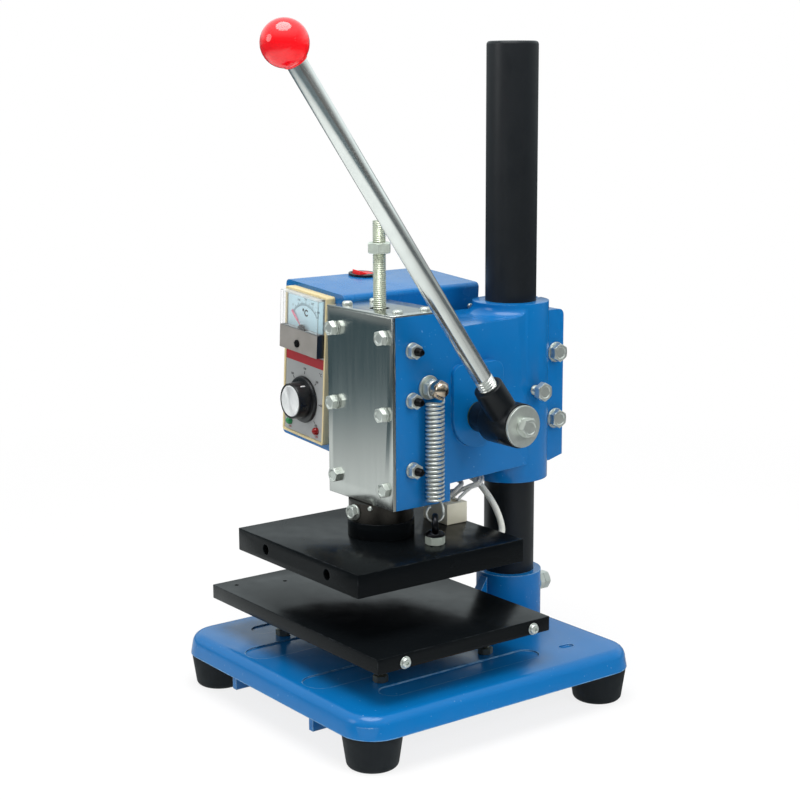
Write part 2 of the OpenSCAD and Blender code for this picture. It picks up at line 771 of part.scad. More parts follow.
module cap_screws() machine() color(steel) translate([-head_half, shaft_y, shaft_z]) to_left() {
    for (a = [45 : 90 : 315]) rotate(a) translate([chamber_r + 2.2, 0, -6]) {
        cylinder(d = 2.5, h = 6 + cap_flange - 0.5);
        translate([0, 0, 6 + cap_flange - 1]) cylinder(d1 = 2.6, d2 = 4.5, h = 1);
    }
}

// Control box
module box_outline(inset) {
    translate([-box_width + inset, -box_height + inset])
        round_rect([box_width - 2 * inset, box_height - 2 * inset], box_corner_r - inset);
}
// An outline in the box's own width and height, raised from y0 back to y1
module box_raise(y0, y1) translate([0, y1, 0]) to_front() linear_extrude(y1 - y0) children();
module corner_posts() {
    for (u = [-box_width + 1, -9], v = [-box_height + 1, -9]) translate([u, v]) square(8);
}
module post_centres() {
    for (u = [-box_width + 5.5, -5.5], v = [-box_height + 5.5, -5.5])
        translate([u, box_back_y, v]) children();
}
module frame_opening(margin) {
    translate([panel_left + frame_rim + margin, panel_top - panel_height + frame_rim + margin])
        square([panel_width - 2 * (frame_rim + margin), panel_height - 2 * (frame_rim + margin)]);
}
module case_outline(extra) {
    translate([panel_left + panel_width / 2, panel_top - panel_height / 2])
        square([case_width + 2 * extra, case_height + 2 * extra], center = true);
}
module control_box() box_frame() color(blue) {
    difference() {
        union() {
            difference() {
                box_raise(box_front_y, box_back_y) box_outline(0);
                box_raise(box_front_y + sheet, box_back_y + 1) box_outline(sheet);
            }
            box_raise(box_back_y - 10, box_back_y) intersection() {
                corner_posts();
                box_outline(0.5);
            }
        }
        box_raise(box_front_y - 1, box_front_y + sheet + 1) case_outline(part_gap);
        translate([rocker_u, rocker_y, -sheet - 1]) cylinder(r = rocker_hole_r, h = sheet + 2);
        for (y = lug_y, v = lug_screw_v) translate([1, y, v]) to_left()
            cylinder(d = box_screw_d + 2 * thread_gap, h = sheet + 2);
        for (y = grommet_y) translate([grommet_u, y, -box_height - 1]) cylinder(r = 3.5, h = sheet + 2);
        post_centres() to_back() bore(3, 8);
    }
}
module box_screws() box_frame() color(steel) {
    for (y = lug_y, v = lug_screw_v) translate([-sheet, y, v]) to_left()
        button_screw(box_screw_d, 9, 2.6, 9 + sheet);
    post_centres() translate([0, sheet, 0]) to_back() button_screw(3, 6, 2, 8);
}
module back_cover() box_frame() color(blue) {
    difference() {
        box_raise(box_back_y, box_back_y + sheet) box_outline(0);
        translate([inlet_u - 20, box_back_y - 1, inlet_v - 12]) cube([40, sheet + 2, 24]);
        post_centres() translate([0, sheet, 0]) to_back() bore(3, sheet + 1);
    }
}
module power_inlet() box_frame() color(black) {
    translate([inlet_u, box_back_y + sheet, inlet_v]) difference() {
        union() {
            translate([-24, 0, -14]) cube([48, 2.5, 28]);
            translate([-19.5, -20, -11.5]) cube([39, 21, 23]);
        }
        translate([-12.5, -14, -8.5]) cube([25, 20, 17]);
        for (x = [-7, 0, 7]) translate([x - 2.2, -18, x == 0 ? -0.2 : -3.2]) cube([4.4, 8, 2.4]);
    }
}
module inlet_pins() box_frame() color(bronze) {
    for (x = [-7, 0, 7]) translate([inlet_u + x - 2, box_back_y + sheet - 18, inlet_v + (x == 0 ? 0 : -3)])
        cube([4, 15, 2]);
}
module cable_grommet() box_frame() color(black) {
    for (y = grommet_y) translate([grommet_u, y, -box_height]) {
        translate([0, 0, -grommet_drop]) cylinder(r = 4.5, h = grommet_drop);
        cylinder(r = 3.4, h = sheet);
        translate([0, 0, sheet]) cylinder(r = 4.5, h = 2);
    }
}
module controller_frame() box_frame() color(cream) {
    difference() {
        box_raise(frame_front_y, box_front_y) translate([panel_left, panel_top - panel_height])
            round_rect([panel_width, panel_height], 2);
        box_raise(frame_front_y - 1, box_front_y + 1) frame_opening(0);
    }
}
module controller_face() box_frame() color(stainless) {
    difference() {
        box_raise(face_y, face_y + face_gauge) frame_opening(thread_gap);
        on_panel(panel_width / 2, knob_down, face_y) to_front() bore(6.4, face_gauge + 1);
        for (s = [-1, 1]) on_panel(panel_width / 2 + s * lamp_side, lamp_down, face_y) to_front()
            bore(2 * lamp_r, face_gauge + 1);
    }
}
module controller_case() box_frame() color(black) {
    difference() {
        box_raise(face_y + face_gauge, case_back_y) case_outline(0);
        on_panel(panel_width / 2, knob_down, face_y + face_gauge) to_front() bore(6.4, 12);
    }
}
module meter_area(inset, y0, y1) {
    box_raise(y0, y1) translate([panel_left + (panel_width - meter_width) / 2 + inset,
                                 panel_top - frame_rim - meter_height + inset])
        square([meter_width - 2 * inset, meter_height - 2 * inset]);
}
module pivot_place(y) on_panel(panel_width / 2, frame_rim + pivot_down, y) children();
module meter_dial() box_frame() color([0.75, 0.88, 0.93]) {
    meter_left = (panel_width - meter_width) / 2;
    box_raise(face_y - 0.8, face_y)
        translate([panel_left + meter_left + 2, panel_top - frame_rim - block_down])
            square([meter_width - 4, block_down - 2]);
}
module meter_block() box_frame() color([0.45, 0.45, 0.46]) {
    meter_left = (panel_width - meter_width) / 2;
    difference() {
        box_raise(meter_front_y + meter_wall, face_y)
            translate([panel_left + meter_left + 2.5, panel_top - frame_rim - meter_height + 2.5])
                square([meter_width - 5, meter_height - block_down - 2.6]);
        pivot_place(face_y - 1) to_front() cylinder(r = 6.5, h = meter_depth);
    }
}
module meter_cover() box_frame() color([0.9, 0.93, 0.95, 0.35]) {
    difference() {
        meter_area(0, meter_front_y, face_y);
        meter_area(meter_wall, meter_front_y + meter_wall, face_y + 1);
    }
}
module lamp() to_front() {
    translate([0, 0, -face_gauge]) cylinder(r = lamp_r, h = face_gauge + 1);
    translate([0, 0, 1]) intersection() {
        sphere(r = lamp_r);
        cylinder(r = lamp_r + 1, h = lamp_r + 1);
    }
}
module lamp_green() box_frame() color([0.1, 0.5, 0.25])
    on_panel(panel_width / 2 - lamp_side, lamp_down, face_y) lamp();
module lamp_red() box_frame() color(red)
    on_panel(panel_width / 2 + lamp_side, lamp_down, face_y) lamp();
module rocker_pins(gap) {
    length = rocker_width + 2 * (rocker_pin + (gap > 0 ? part_gap : 0));
    translate([-length / 2, 0, 0]) to_right() cylinder(r = rocker_pin_d / 2 + gap, h = length, $fn = 24);
}
module rocker_bezel() box_frame() color(black) translate([rocker_u, rocker_y, 0]) {
    difference() {
        union() {
            cylinder(r = rocker_bezel_r, h = 2);
            translate([0, 0, -16]) cylinder(r = rocker_hole_r - thread_gap, h = 17);
        }
        translate([-rocker_width / 2 - part_gap, -rocker_half - 0.9, -8])
            cube([rocker_width + 2 * part_gap, 2 * rocker_half + 1.8, 12]);
        translate([0, 0, rocker_pivot]) rocker_pins(fit_gap);
    }
    for (s = [-1, 1]) translate([s * 4, 0, -16]) translate([-0.4, -3, -8]) cube([0.8, 6, 9]);
}

// Lever
function involute(a) = tan(a) * 180 / PI - a;
tooth_half = (tooth_pitch / 2 - backlash) / 2 / pitch_r * 180 / PI;
function half_angle(r) = tooth_half + involute(pressure_angle) - involute(acos(base_r / r));
flank_steps = 4;
flank = concat([[root_r, half_angle(base_r)]],
    [for (i = [0 : flank_steps]) let (r = base_r + (tip_r - base_r) * i / flank_steps) [r, half_angle(r)]]);
function polar(r, a) = [r * cos(a), r * sin(a)];
module pinion_outline() {
    step = 360 / pinion_teeth;
    polygon([for (k = [0 : pinion_teeth - 1]) each concat(
        [for (i = [0 : len(flank) - 1]) polar(flank[i][0], k * step - flank[i][1])],
        [for (i = [len(flank) - 1 : -1 : 0]) polar(flank[i][0], k * step + flank[i][1])])]);
}
// One tooth of the pinion points at the rack when the lever is at rest
module pinion_shaft() machine() color(dark_steel) translate([0, shaft_y, shaft_z]) to_right() {
    difference() {
        union() {
            translate([0, 0, -pinion_half]) linear_extrude(2 * pinion_half) rotate(-90) pinion_outline();
            translate([0, 0, -head_half + 1]) cylinder(d = shaft_d, h = shaft_end + head_half - 1);
        }
        translate([0, 0, shaft_end]) bore(m8_d, hub_bolt_length);
    }
}
module lever_hub() lever_frame() color(black) {
    difference() {
        union() {
            translate([hub_start, 0, 0]) to_right() cylinder(d = hub_inner_d, h = hub_step - hub_start + 1);
            translate([hub_step, 0, 0]) to_right() cylinder(d = hub_outer_d, h = hub_end - hub_step);
            translate([lever_x, 0, 0]) cylinder(d1 = lever_rod_d + 10, d2 = lever_rod_d + 8, h = hub_mouth);
        }
        translate([hub_start - 1, 0, 0]) to_right() cylinder(r = shaft_d / 2 + fit_gap, h = hub_end);
        translate([lever_x, 0, rod_seat]) cylinder(d = lever_rod_d + 2 * thread_gap, h = hub_mouth);
    }
}
module hub_bolt() lever_frame() color(steel) translate([hub_end, 0, 0]) to_right() {
    washer(m8_d, hub_washer_d, washer_gauge);
    translate([0, 0, washer_gauge]) washer(m8_d, hub_bolt_washer_d, hub_bolt_washer);
    translate([0, 0, washer_gauge + hub_bolt_washer]) hex_bolt(m8_d, m8_af, m8_head, hub_bolt_length);
}
module lever_rod() lever_frame() color(steel) translate([lever_x, 0, 0]) {
    translate([0, 0, rod_seat]) cylinder(d = lever_rod_d, h = lever_length - ball_d / 2 + 1.5 - rod_seat);
    translate([0, 0, lever_length - ball_d / 2]) cylinder(d = spigot_d, h = ball_d / 2 + 4);
}
module ball_knob() lever_frame() color(red) translate([lever_x, 0, lever_length]) {
    difference() {
        union() {
            sphere(d = ball_d, $fn = 48);
            translate([0, 0, -ball_d / 2 + 1.5]) cylinder(d = lever_rod_d + 3, h = 3);
        }
        translate([0, 0, -ball_d / 2 - 1]) cylinder(d = spigot_d + 2 * thread_gap, h = ball_d / 2 + 6);
        translate([0, 0, -ball_d / 2 - 5]) cylinder(d = ball_d, h = 6.5);
    }
}

// Ram
module rack_gap() {
    slope = tan(pressure_angle);
    mid = (tooth_pitch / 2 + backlash) / 2;
    floor_x = -tooth_module - root_depth;
    floor_half = mid - root_depth * slope;
    mouth_half = mid + (tooth_module + 1) * slope;
    polygon([[1, mouth_half], [floor_x, floor_half], [floor_x, -floor_half], [1, -mouth_half]]);
}
module at_flange_screw() {
    translate([0, ram_y, flange_screw_z]) rotate(flange_screw_turn) translate([0, -flange_r, 0]) to_front()
        children();
}
module ram() machine() color(dark_steel) {
    difference() {
        union() {
            translate([-ram_half, ram_y - ram_front, flange_top - 1])
                cube([2 * ram_half, ram_front + ram_back, ram_top - flange_top + 1]);
            translate([0, ram_y, ring_top]) cylinder(r = flange_r, h = flange_height);
            translate([0, ram_y, plate_top]) cylinder(r = spigot_r, h = ring_height + 1);
        }
        for (k = [-2 : ceil(stroke / tooth_pitch) + 2])
            translate([-ram_half - 1, rack_tip_y, shaft_z + k * tooth_pitch])
                rotate([90, 0, 90]) linear_extrude(2 * ram_half + 2) rack_gap();
        translate([0, ram_y, ram_top]) bore(stop_rod_d, 20);
        translate([0, ram_y - flange_flat, flange_bolt_z]) to_front() {
            bore(m6_d, 14);
            cylinder(d = 13, h = 4);
        }
        at_flange_screw() bore(flange_screw_d, flange_screw_depth + part_gap);
    }
}
module stop_rod() machine() color(steel) {
    translate([0, ram_y, ram_top - 20]) cylinder(d = stop_rod_d, h = stop_rod_top - ram_top + 20);
}
module clamp_ring() machine() color(black) {
    difference() {
        translate([0, ram_y, plate_top]) cylinder(r = ring_r, h = ring_height);
        translate([0, ram_y, plate_top - 1]) cylinder(r = spigot_r + fit_gap, h = ring_height + 2);
    }
}
module ram_bolt() machine() color(steel) {
    translate([0, ram_y - flange_flat, flange_bolt_z]) to_front() {
        washer(m6_d, 12, washer_thin);
        translate([0, 0, washer_thin]) hex_bolt(m6_d, m6_af, m6_head, 14);
    }
    at_flange_screw() translate([0, 0, -flange_screw_depth])
        cylinder(d = flange_screw_d, h = flange_screw_depth + 1.2);
}
module hot_plate() machine() color(black) {
    difference() {
        translate([-plate_width / 2, plate_front, plate_bottom])
            cube([plate_width, plate_depth, plate_thickness]);
        for (x = [-heater_x, heater_x])
            translate([x, plate_back, heater_z]) to_back() bore(heater_d, plate_depth + 1);
        translate([spring_x, spring_y, plate_top]) bore(m8_d, eye_root + 1);
    }
}
module plate_heaters() machine() color(steel) {
    for (x = [-heater_x, heater_x]) translate([x, plate_back, heater_z]) to_front()
        cylinder(d = heater_d, h = plate_depth - heater_recess);
}
module terminal_block() machine() color(cream) {
    difference() {
        translate([terminal_x - terminal_size[0] / 2, terminal_y - terminal_size[1] / 2, plate_top])
            cube(terminal_size);
        for (s = [-1, 1]) translate([terminal_x + s * 8, terminal_y + 3, terminal_top]) bore(6, 5);
    }
}
module terminal_screws() machine() color(bronze) {
    for (s = [-1, 1]) translate([terminal_x + s * 8, terminal_y + 3, terminal_top - 5]) difference() {
        cylinder(d = 6, h = 4);
        translate([-0.5, -4, 3]) cube([1, 8, 2]);
    }
}
module eye_bolt() machine() color(black) translate([spring_x, spring_y, 0]) {
    translate([0, 0, plate_top - eye_root]) cylinder(d = m8_d, h = eye_z - eye_r - plate_top + eye_root);
    translate([0, 0, eye_z]) rotate([90, 0, hook_turn - 90]) rotate_extrude() translate([eye_r, 0])
        circle(d = eye_wire, $fn = 20);
    translate([0, 0, plate_top]) hex_nut(m8_d, m8_af, m8_nut);
}
module stop_nut() machine() color(steel) translate([0, ram_y, stop_nut_z]) rotate(20)
    hex_nut(stop_rod_d, stop_nut_af, stop_nut_height);

// Controls that move
module knob() box_frame() color(black) on_panel(panel_width / 2, knob_down, face_y - part_gap) to_front() {
    difference() {
        union() {
            cylinder(r1 = knob_skirt_r, r2 = knob_skirt_r - 0.8, h = 2.5);
            translate([0, 0, 2]) cylinder(r1 = knob_body_r + 0.6, r2 = knob_body_r, h = knob_height - 2);
            translate([0, 0, -10]) cylinder(d = 6, h = 12);
        }
        translate([0, 0, knob_height - 1]) cylinder(r = cap_disc_r + thread_gap, h = 2);
    }
}
module knob_cap() box_frame() color(steel) on_panel(panel_width / 2, knob_down, face_y - part_gap) to_front()
    translate([0, 0, knob_height - 1]) cylinder(r = cap_disc_r, h = 1.3);
module rocker() box_frame() color(red)
    translate([rocker_u, rocker_y, rocker_pivot]) rotate([-rocker_tilt, 0, 0]) {
        rocker_pins(0);
        translate([-rocker_width / 2, 0, rocker_rise]) rotate([90, 0, 90]) linear_extrude(rocker_width)
            polygon([[-rocker_half, 2.6], [0, 1.4], [rocker_half, 2.6], [rocker_half - 0.6, -3], [0, -5],
                     [-rocker_half + 0.6, -3]]);
    }
module meter_needle() box_frame() color(red) pivot_place(face_y - 1 - part_gap) to_front() {
    cylinder(r = 2, h = 1.6);
    rotate(90 + needle_angle) translate([0, -0.5, 0.4]) cube([needle_length, 1, 0.6]);
}

// Return spring: hook, curls and hook in one wire
function turned(r, a, z) = [r * cos(a), r * sin(a), z];
bend_start = 45;
curl_turn = 360 * (spring_coils - 1) + 270 - hook_turn + bend_start;
curl_rings = round(curl_turn / 45);
low_hook = [for (i = [0 : hook_steps]) let (a = 360 - hook_sweep + hook_sweep * i / hook_steps)
    turned(spring_r * cos(a), hook_turn, hook_low_z + spring_r * sin(a))];
low_bend = [for (i = [1 : 2]) let (t = i / 3)
    turned(spring_r, hook_turn + 90 * t, hook_low_z + (coil_low_z - hook_low_z) * (1 - (1 - t) * (1 - t)))];
curls = [for (i = [0 : curl_rings])
    turned(spring_r, hook_turn + 90 + curl_turn * i / curl_rings,
           coil_low_z + (coil_high_z - coil_low_z) * i / curl_rings)];
high_bend = [for (i = [1 : 2]) let (t = i / 3)
    turned(spring_r, bend_start + (90 - bend_start) * t, coil_high_z + (hook_high_z - coil_high_z) * t * t)];
high_hook = [for (i = [0 : hook_steps]) let (a = hook_sweep * i / hook_steps)
    turned(spring_r * cos(a), 90, hook_high_z + spring_r * sin(a))];
function straight_end(p, q) = p + spring_wire * unit(p - q);
spring_middle = concat(low_hook, low_bend, curls, high_bend, high_hook);
spring_count = len(spring_middle);
low_end = straight_end(spring_middle[0], spring_middle[1]);
high_end = straight_end(spring_middle[spring_count - 1], spring_middle[spring_count - 2]);
spring_path = [for (p = concat([low_end], spring_middle, [high_end])) [spring_x, spring_y, 0] + p];
spring_gap = min([for (i = [0 : len(spring_path) - 1], j = [i + 5 : 1 : min(i + 12, len(spring_path) - 1)])
    norm(spring_path[i] - spring_path[j])]) - spring_wire;
module return_spring() machine() color(steel) tube(spring_path, spring_wire / 2, 6, [0, 0, 1]);

// Cables between the hot plate and the control box
cable_d = 5;
lead_d = 3.6;
function grommet_end(i, drop) = box_point(grommet_u, grommet_y[i], -box_height - grommet_drop - drop);
right_route = [
    [heater_x, plate_back, heater_z], [heater_x, plate_back + 6, heater_z],
    [heater_x - 3, plate_back + 14, heater_z + 4], [30, -37, heater_z + 16], [18, -37, heater_z + 28],
    [0, -37, heater_z + 38], [-25, -37, heater_z + 40], [-48, -37, heater_z + 39],
    grommet_end(0, 14), grommet_end(0, 5), grommet_end(0, 0)
];
left_route = [
    [-heater_x, plate_back, heater_z], [-heater_x, plate_back + 6, heater_z],
    [-heater_x - 4, plate_back + 11, heater_z + 6], [-56, -45, heater_z + 22], [-66, -48, heater_z + 36],
    grommet_end(1, 12), grommet_end(1, 5), grommet_end(1, 0)
];
lead_route = [
    [8, terminal_y - 4, terminal_top], [8, terminal_y - 4, terminal_top + 4],
    [12, terminal_y + 1, terminal_top + 10], [8, -56, terminal_top + 14], [-14, -57, terminal_top + 16],
    [-44, -59, terminal_top + 16], grommet_end(2, 13), grommet_end(2, 5), grommet_end(2, 0)
];
module heater_cable_right() machine() color(white) tube(smooth(right_route, 3), cable_d / 2, 8, [0, 0, 1]);
module heater_cable_left() machine() color(white) tube(smooth(left_route, 3), cable_d / 2, 8, [0, 0, 1]);
module sensor_lead() machine() color(stainless) tube(smooth(lead_route, 3), lead_d / 2, 8, [0, 1, 0]);

echo(spring_gap = spring_gap);
echo(column = [column_x, column_y], shaft = [shaft_y, shaft_z], pitch_r = pitch_r);

base_casting();
rubber_feet();
foot_screws();
column();
socket_bolt();
table();
table_studs();
table_screws();
head_casting();
front_plate();
plate_bolts();
top_cover();
cover_screws();
gib_strip();
gib_screws();
gib_nuts();
clamp_bolts();
head_set_bolt();
spring_stud();
shaft_bush();
shaft_cap();
cap_screws();
control_box();
box_screws();
back_cover();
power_inlet();
inlet_pins();
cable_grommet();
controller_frame();
controller_face();
controller_case();
meter_dial();
meter_block();
meter_cover();
lamp_green();
lamp_red();
rocker_bezel();
pinion_shaft();
lever_hub();
hub_bolt();
lever_rod();
ball_knob();
ram();
stop_rod();
clamp_ring();
ram_bolt();
hot_plate();
plate_heaters();
terminal_block();
terminal_screws();
eye_bolt();
stop_nut();
knob();
knob_cap();
rocker();
meter_needle();
return_spring();
heater_cable_right();
heater_cable_left();
sensor_lead();
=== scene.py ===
import math

import bmesh
import bpy
from mathutils import Matrix, Vector


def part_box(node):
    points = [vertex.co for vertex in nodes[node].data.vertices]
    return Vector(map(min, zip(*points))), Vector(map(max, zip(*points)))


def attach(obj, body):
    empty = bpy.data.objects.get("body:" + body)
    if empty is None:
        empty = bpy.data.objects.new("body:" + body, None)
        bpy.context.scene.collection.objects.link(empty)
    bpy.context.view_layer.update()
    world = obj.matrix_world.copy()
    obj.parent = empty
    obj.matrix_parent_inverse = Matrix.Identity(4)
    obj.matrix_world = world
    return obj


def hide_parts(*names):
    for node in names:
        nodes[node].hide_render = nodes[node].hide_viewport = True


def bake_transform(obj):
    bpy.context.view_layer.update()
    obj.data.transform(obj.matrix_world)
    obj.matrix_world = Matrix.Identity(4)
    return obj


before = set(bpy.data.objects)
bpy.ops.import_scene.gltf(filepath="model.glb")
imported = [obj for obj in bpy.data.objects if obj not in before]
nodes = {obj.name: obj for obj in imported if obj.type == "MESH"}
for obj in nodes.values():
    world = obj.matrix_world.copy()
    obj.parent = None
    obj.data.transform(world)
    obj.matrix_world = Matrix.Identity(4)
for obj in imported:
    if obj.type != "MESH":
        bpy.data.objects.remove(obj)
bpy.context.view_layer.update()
scene = bpy.context.scene

# The machine's own frame: millimetres from the foot of the column's axis
MM = 0.001
column_lo, column_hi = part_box("column")
ORIGIN = Vector(((column_lo.x + column_hi.x) / 2, (column_lo.y + column_hi.y) / 2, 0))
MACHINE = Matrix.Translation(ORIGIN) @ Matrix.Scale(MM, 4)


def turn(degrees, axis):
    return Matrix.Rotation(math.radians(degrees), 4, axis)


def at(x, y, z):
    return ORIGIN + Vector((x, y, z)) * MM


TO_RIGHT = turn(90, "Y")
TO_LEFT = turn(-90, "Y")
TO_FRONT = turn(90, "X")
TO_BACK = turn(-90, "X")
UP = Matrix.Identity(4)

# Sizes of the part's source that the pieces here seat on, in millimetres
BASE_TOP = 42
SOCKET_BACK_Y, SOCKET_BOLT_Z = 28, 63
TABLE_BOTTOM = 67.4
TABLE_STUD_X, TABLE_STUD_Y = 64.5, (-175.5, -77.5)
TABLE_EDGE_X, TABLE_SCREW_Y, TABLE_SCREW_Z = 110, (-187.5, -70), 71.8
PLATE_TOP = 130.2
HEATER_X, HEATER_Z = 40.5, 121.45
FLANGE_R, FLANGE_FLAT = 24.5, 23.5
FLANGE_BOLT_Z = 150.35
FLANGE_SCREW_Z, FLANGE_SCREW_TURN = 155.1, 34.5
COVER_TOP = 302
COVER_SCREW_Y = (-134, -109)
HEAD_HALF = 41
RAM_Y = -127
PLATE_FRONT_Y = -146
BLOCK_BOLT_X = 31.5
PLATE_BOLT_Z = (172.5, 229, 285.5)
STOP_NUT_Z = 342.7
STOP_ROD_Z = (276, 366.6)
SHAFT = (0, -68, 220.6)
LEVER_X = 79
LEVER_LEAN = 35
BALL_CENTRE, BALL_R = 331, 16
HUB_END = 93
STUD_Z = 246.9
ACORN_START = 10.7
EYE_CENTRE = 14.85
SPRING_X, SPRING_Y = 49, -113.4
GIB_Y = -128.4
GIB_Z = (186.9, 238.7, 275.5)
CLAMP_Y, CLAMP_Z, EAR_X = 34.83, (201, 254.5), 14
SET_BOLT_X, SET_BOLT_Z = 37, 230
SLEEVE_R = 30
BOX_X, BOX_Z, BOX_LEAN = -41.97, 306.9, 4.2
FACE_Y = -136.7
METER_FRONT_Y = -143.7
PANEL_LEFT, PANEL_TOP, PANEL_WIDTH = -68.5, -3, 57
PANEL_MID = PANEL_WIDTH / 2
SMOKE_DOWN = 29.6
PIVOT_DOWN = 31.5
KNOB_DOWN, KNOB_GAP = 86, 0.3
NEEDLE_SWING = 51
BOX = MACHINE @ Matrix.Translation((BOX_X, 0, BOX_Z)) @ turn(BOX_LEAN, "Y")
BOX_UP = (BOX.to_3x3() @ Vector((0, 0, 1))).normalized()
LEVER = MACHINE @ Matrix.Translation(SHAFT) @ turn(LEVER_LEAN, "X")


def place(x, y, z, way=UP, base=MACHINE, spin=0):
    return base @ Matrix.Translation((x, y, z)) @ way @ turn(spin, "Z")


def box_point(u, y, v):
    """A point of the leaning control box in the machine's frame."""
    return (BOX.to_3x3() @ Vector((u, y, v))) / MM + Vector((BOX_X, 0, BOX_Z))


# Camera, solved from the photograph's own lines
CAMERA_AZIMUTH = math.radians(53.216)
CAMERA_PITCH = math.radians(11.049)
CAMERA_ROLL = math.radians(0.266)
CAMERA_PLACE = (1000.0, -856.3, 474.4)
SENSOR_MM, FOCAL_PIXELS, PICTURE_PIXELS = 36, 1689, 800
camera_data = bpy.data.cameras.new("camera")
camera_data.sensor_width = SENSOR_MM
camera_data.lens = SENSOR_MM * FOCAL_PIXELS / PICTURE_PIXELS
camera_data.clip_end = 50
camera = bpy.data.objects.new("camera", camera_data)
scene.collection.objects.link(camera)
forward = Vector((-math.sin(CAMERA_AZIMUTH) * math.cos(CAMERA_PITCH),
                  math.cos(CAMERA_AZIMUTH) * math.cos(CAMERA_PITCH), -math.sin(CAMERA_PITCH)))
level = Vector((math.cos(CAMERA_AZIMUTH), math.sin(CAMERA_AZIMUTH), 0))
upright = level.cross(forward)
axis_x = level * math.cos(CAMERA_ROLL) - upright * math.sin(CAMERA_ROLL)
axis_y = level * math.sin(CAMERA_ROLL) + upright * math.cos(CAMERA_ROLL)
axes = Matrix((axis_x, axis_y, -forward)).transposed().to_4x4()
camera.matrix_world = Matrix.Translation(at(*CAMERA_PLACE)) @ axes
scene.camera = camera


# Materials
def srgb(r, g, b):
    def one(c):
        c /= 255
        return c / 12.92 if c <= 0.04045 else ((c + 0.055) / 1.055) ** 2.4
    return one(r), one(g), one(b), 1.0


def shade(colour, k):
    return tuple(min(1.0, c * k) for c in colour[:3]) + (1.0,)


class Finish:
    """A procedural material: colour that varies, uneven gloss, a fine surface, and scuffed edges with
    painted highlight.
    """

    def __init__(self, name, metal=0.0, **sockets):
        self.mat = bpy.data.materials.new(name)
        self.mat.use_nodes = True
        self.tree = self.mat.node_tree
        self.shader = self.tree.nodes["Principled BSDF"]
        self.shader.inputs["Metallic"].default_value = metal
        for key, value in sockets.items():
            self.shader.inputs[key.replace("_", " ")].default_value = value
        self.coord = self.tree.nodes.new("ShaderNodeTexCoord").outputs["Object"]
        self.normal = None

    def add(self, kind, **inputs):
        made = self.tree.nodes.new(kind)
        for key, value in inputs.items():
            self.feed(made.inputs[key.replace("_", " ")], value)
        return made

    def feed(self, socket, value):
        if isinstance(value, bpy.types.NodeSocket):
            self.tree.links.new(value, socket)
        else:
            socket.default_value = value

    def noise(self, scale, stretch=(1, 1, 1), detail=3.0):
        mapping = self.add("ShaderNodeMapping", Vector=self.coord, Scale=stretch)
        made = self.add("ShaderNodeTexNoise", Vector=mapping.outputs["Vector"], Scale=scale, Detail=detail)
        return made.outputs["Fac"]

    def span(self, value, low, high, to_low=0.0, to_high=1.0):
        made = self.add("ShaderNodeMapRange", Value=value)
        for key, number in (("From Min", low), ("From Max", high), ("To Min", to_low), ("To Max", to_high)):
            made.inputs[key].default_value = number
        return made.outputs["Result"]

    def operate(self, kind, operation, *values):
        made = self.tree.nodes.new(kind)
        made.operation = operation
        for socket, value in zip(made.inputs, values):
            self.feed(socket, value)
        return made.outputs

    def math(self, operation, a, b):
        return self.operate("ShaderNodeMath", operation, a, b)["Value"]

    def times(self, a, b):
        return self.math("MULTIPLY", a, b)

    def dot(self, a, b):
        return self.operate("ShaderNodeVectorMath", "DOT_PRODUCT", a, b)["Value"]

    def mix(self, share, a, b):
        made = self.tree.nodes.new("ShaderNodeMix")
        made.data_type = "RGBA"
        self.feed(made.inputs["Factor"], share)
        self.feed(made.inputs[6], a)
        self.feed(made.inputs[7], b)
        return made.outputs[2]

    def clouds(self, colour, vary, cloud):
        """The colour, a little darker and lighter as the noise goes."""
        return self.mix(self.span(cloud, 0.3, 0.7), shade(colour, 1 - vary), shade(colour, 1 + vary))

    def bevel(self, radius):
        made = self.add("ShaderNodeBevel", Radius=radius)
        made.samples = 4
        return made.outputs[0]

    def edges(self, radius):
        """How close a point is to an edge of its solid, from 0 to 1."""
        normal = self.add("ShaderNodeNewGeometry").outputs["Normal"]
        return self.span(self.dot(self.bevel(radius), normal), 0.995, 0.85)

    def soften(self, radius):
        """Rounds the look of sharp edges by a small radius."""
        self.normal = self.bevel(radius)

    def bump(self, height, strength, distance):
        made = self.add("ShaderNodeBump", Height=height, Strength=strength, Distance=distance)
        if self.normal is not None:
            self.tree.links.new(self.normal, made.inputs["Normal"])
        self.normal = made.outputs[0]

    def done(self, colour, rough):
        self.feed(self.shader.inputs["Base Color"], colour)
        self.feed(self.shader.inputs["Roughness"], rough)
        if self.normal is not None:
            self.tree.links.new(self.normal, self.shader.inputs["Normal"])
        return self.mat


def painted(name, colour, scuffed_lit_colour, rough, vary=0.05, scuff_and_highlight=0.3, patchy_from=0.42, specks=0.0, grain=0.06,
            peel=0.03, soft=0.0005, **sockets):
    """Enamel: soft cloudy tone, thin scuffed paint and painted highlight on sharp edges, dust specks and a
    slightly wavy gloss.
    """
    f = Finish(name, **sockets)
    tone = f.clouds(colour, vary, f.noise(11, detail=4))
    # Sharp edges turn lighter in patches: scuffed paint and painted highlight.
    edge_scuff_and_glint = f.times(f.edges(0.0012), f.span(f.noise(160, detail=4), patchy_from, patchy_from + 0.28, 0, scuff_and_highlight))
    tone = f.mix(edge_scuff_and_glint, tone, scuffed_lit_colour)
    if specks:
        tone = f.mix(f.span(f.noise(430, detail=1), 0.75, 0.8, 0, specks), tone, scuffed_lit_colour)
    f.soften(soft)
    f.bump(f.noise(900, detail=2), grain, 0.0002)
    f.bump(f.noise(55, detail=2), peel, 0.001)
    return f.done(tone, f.span(f.noise(70, detail=4), 0.3, 0.7, rough - 0.05, rough + 0.06))


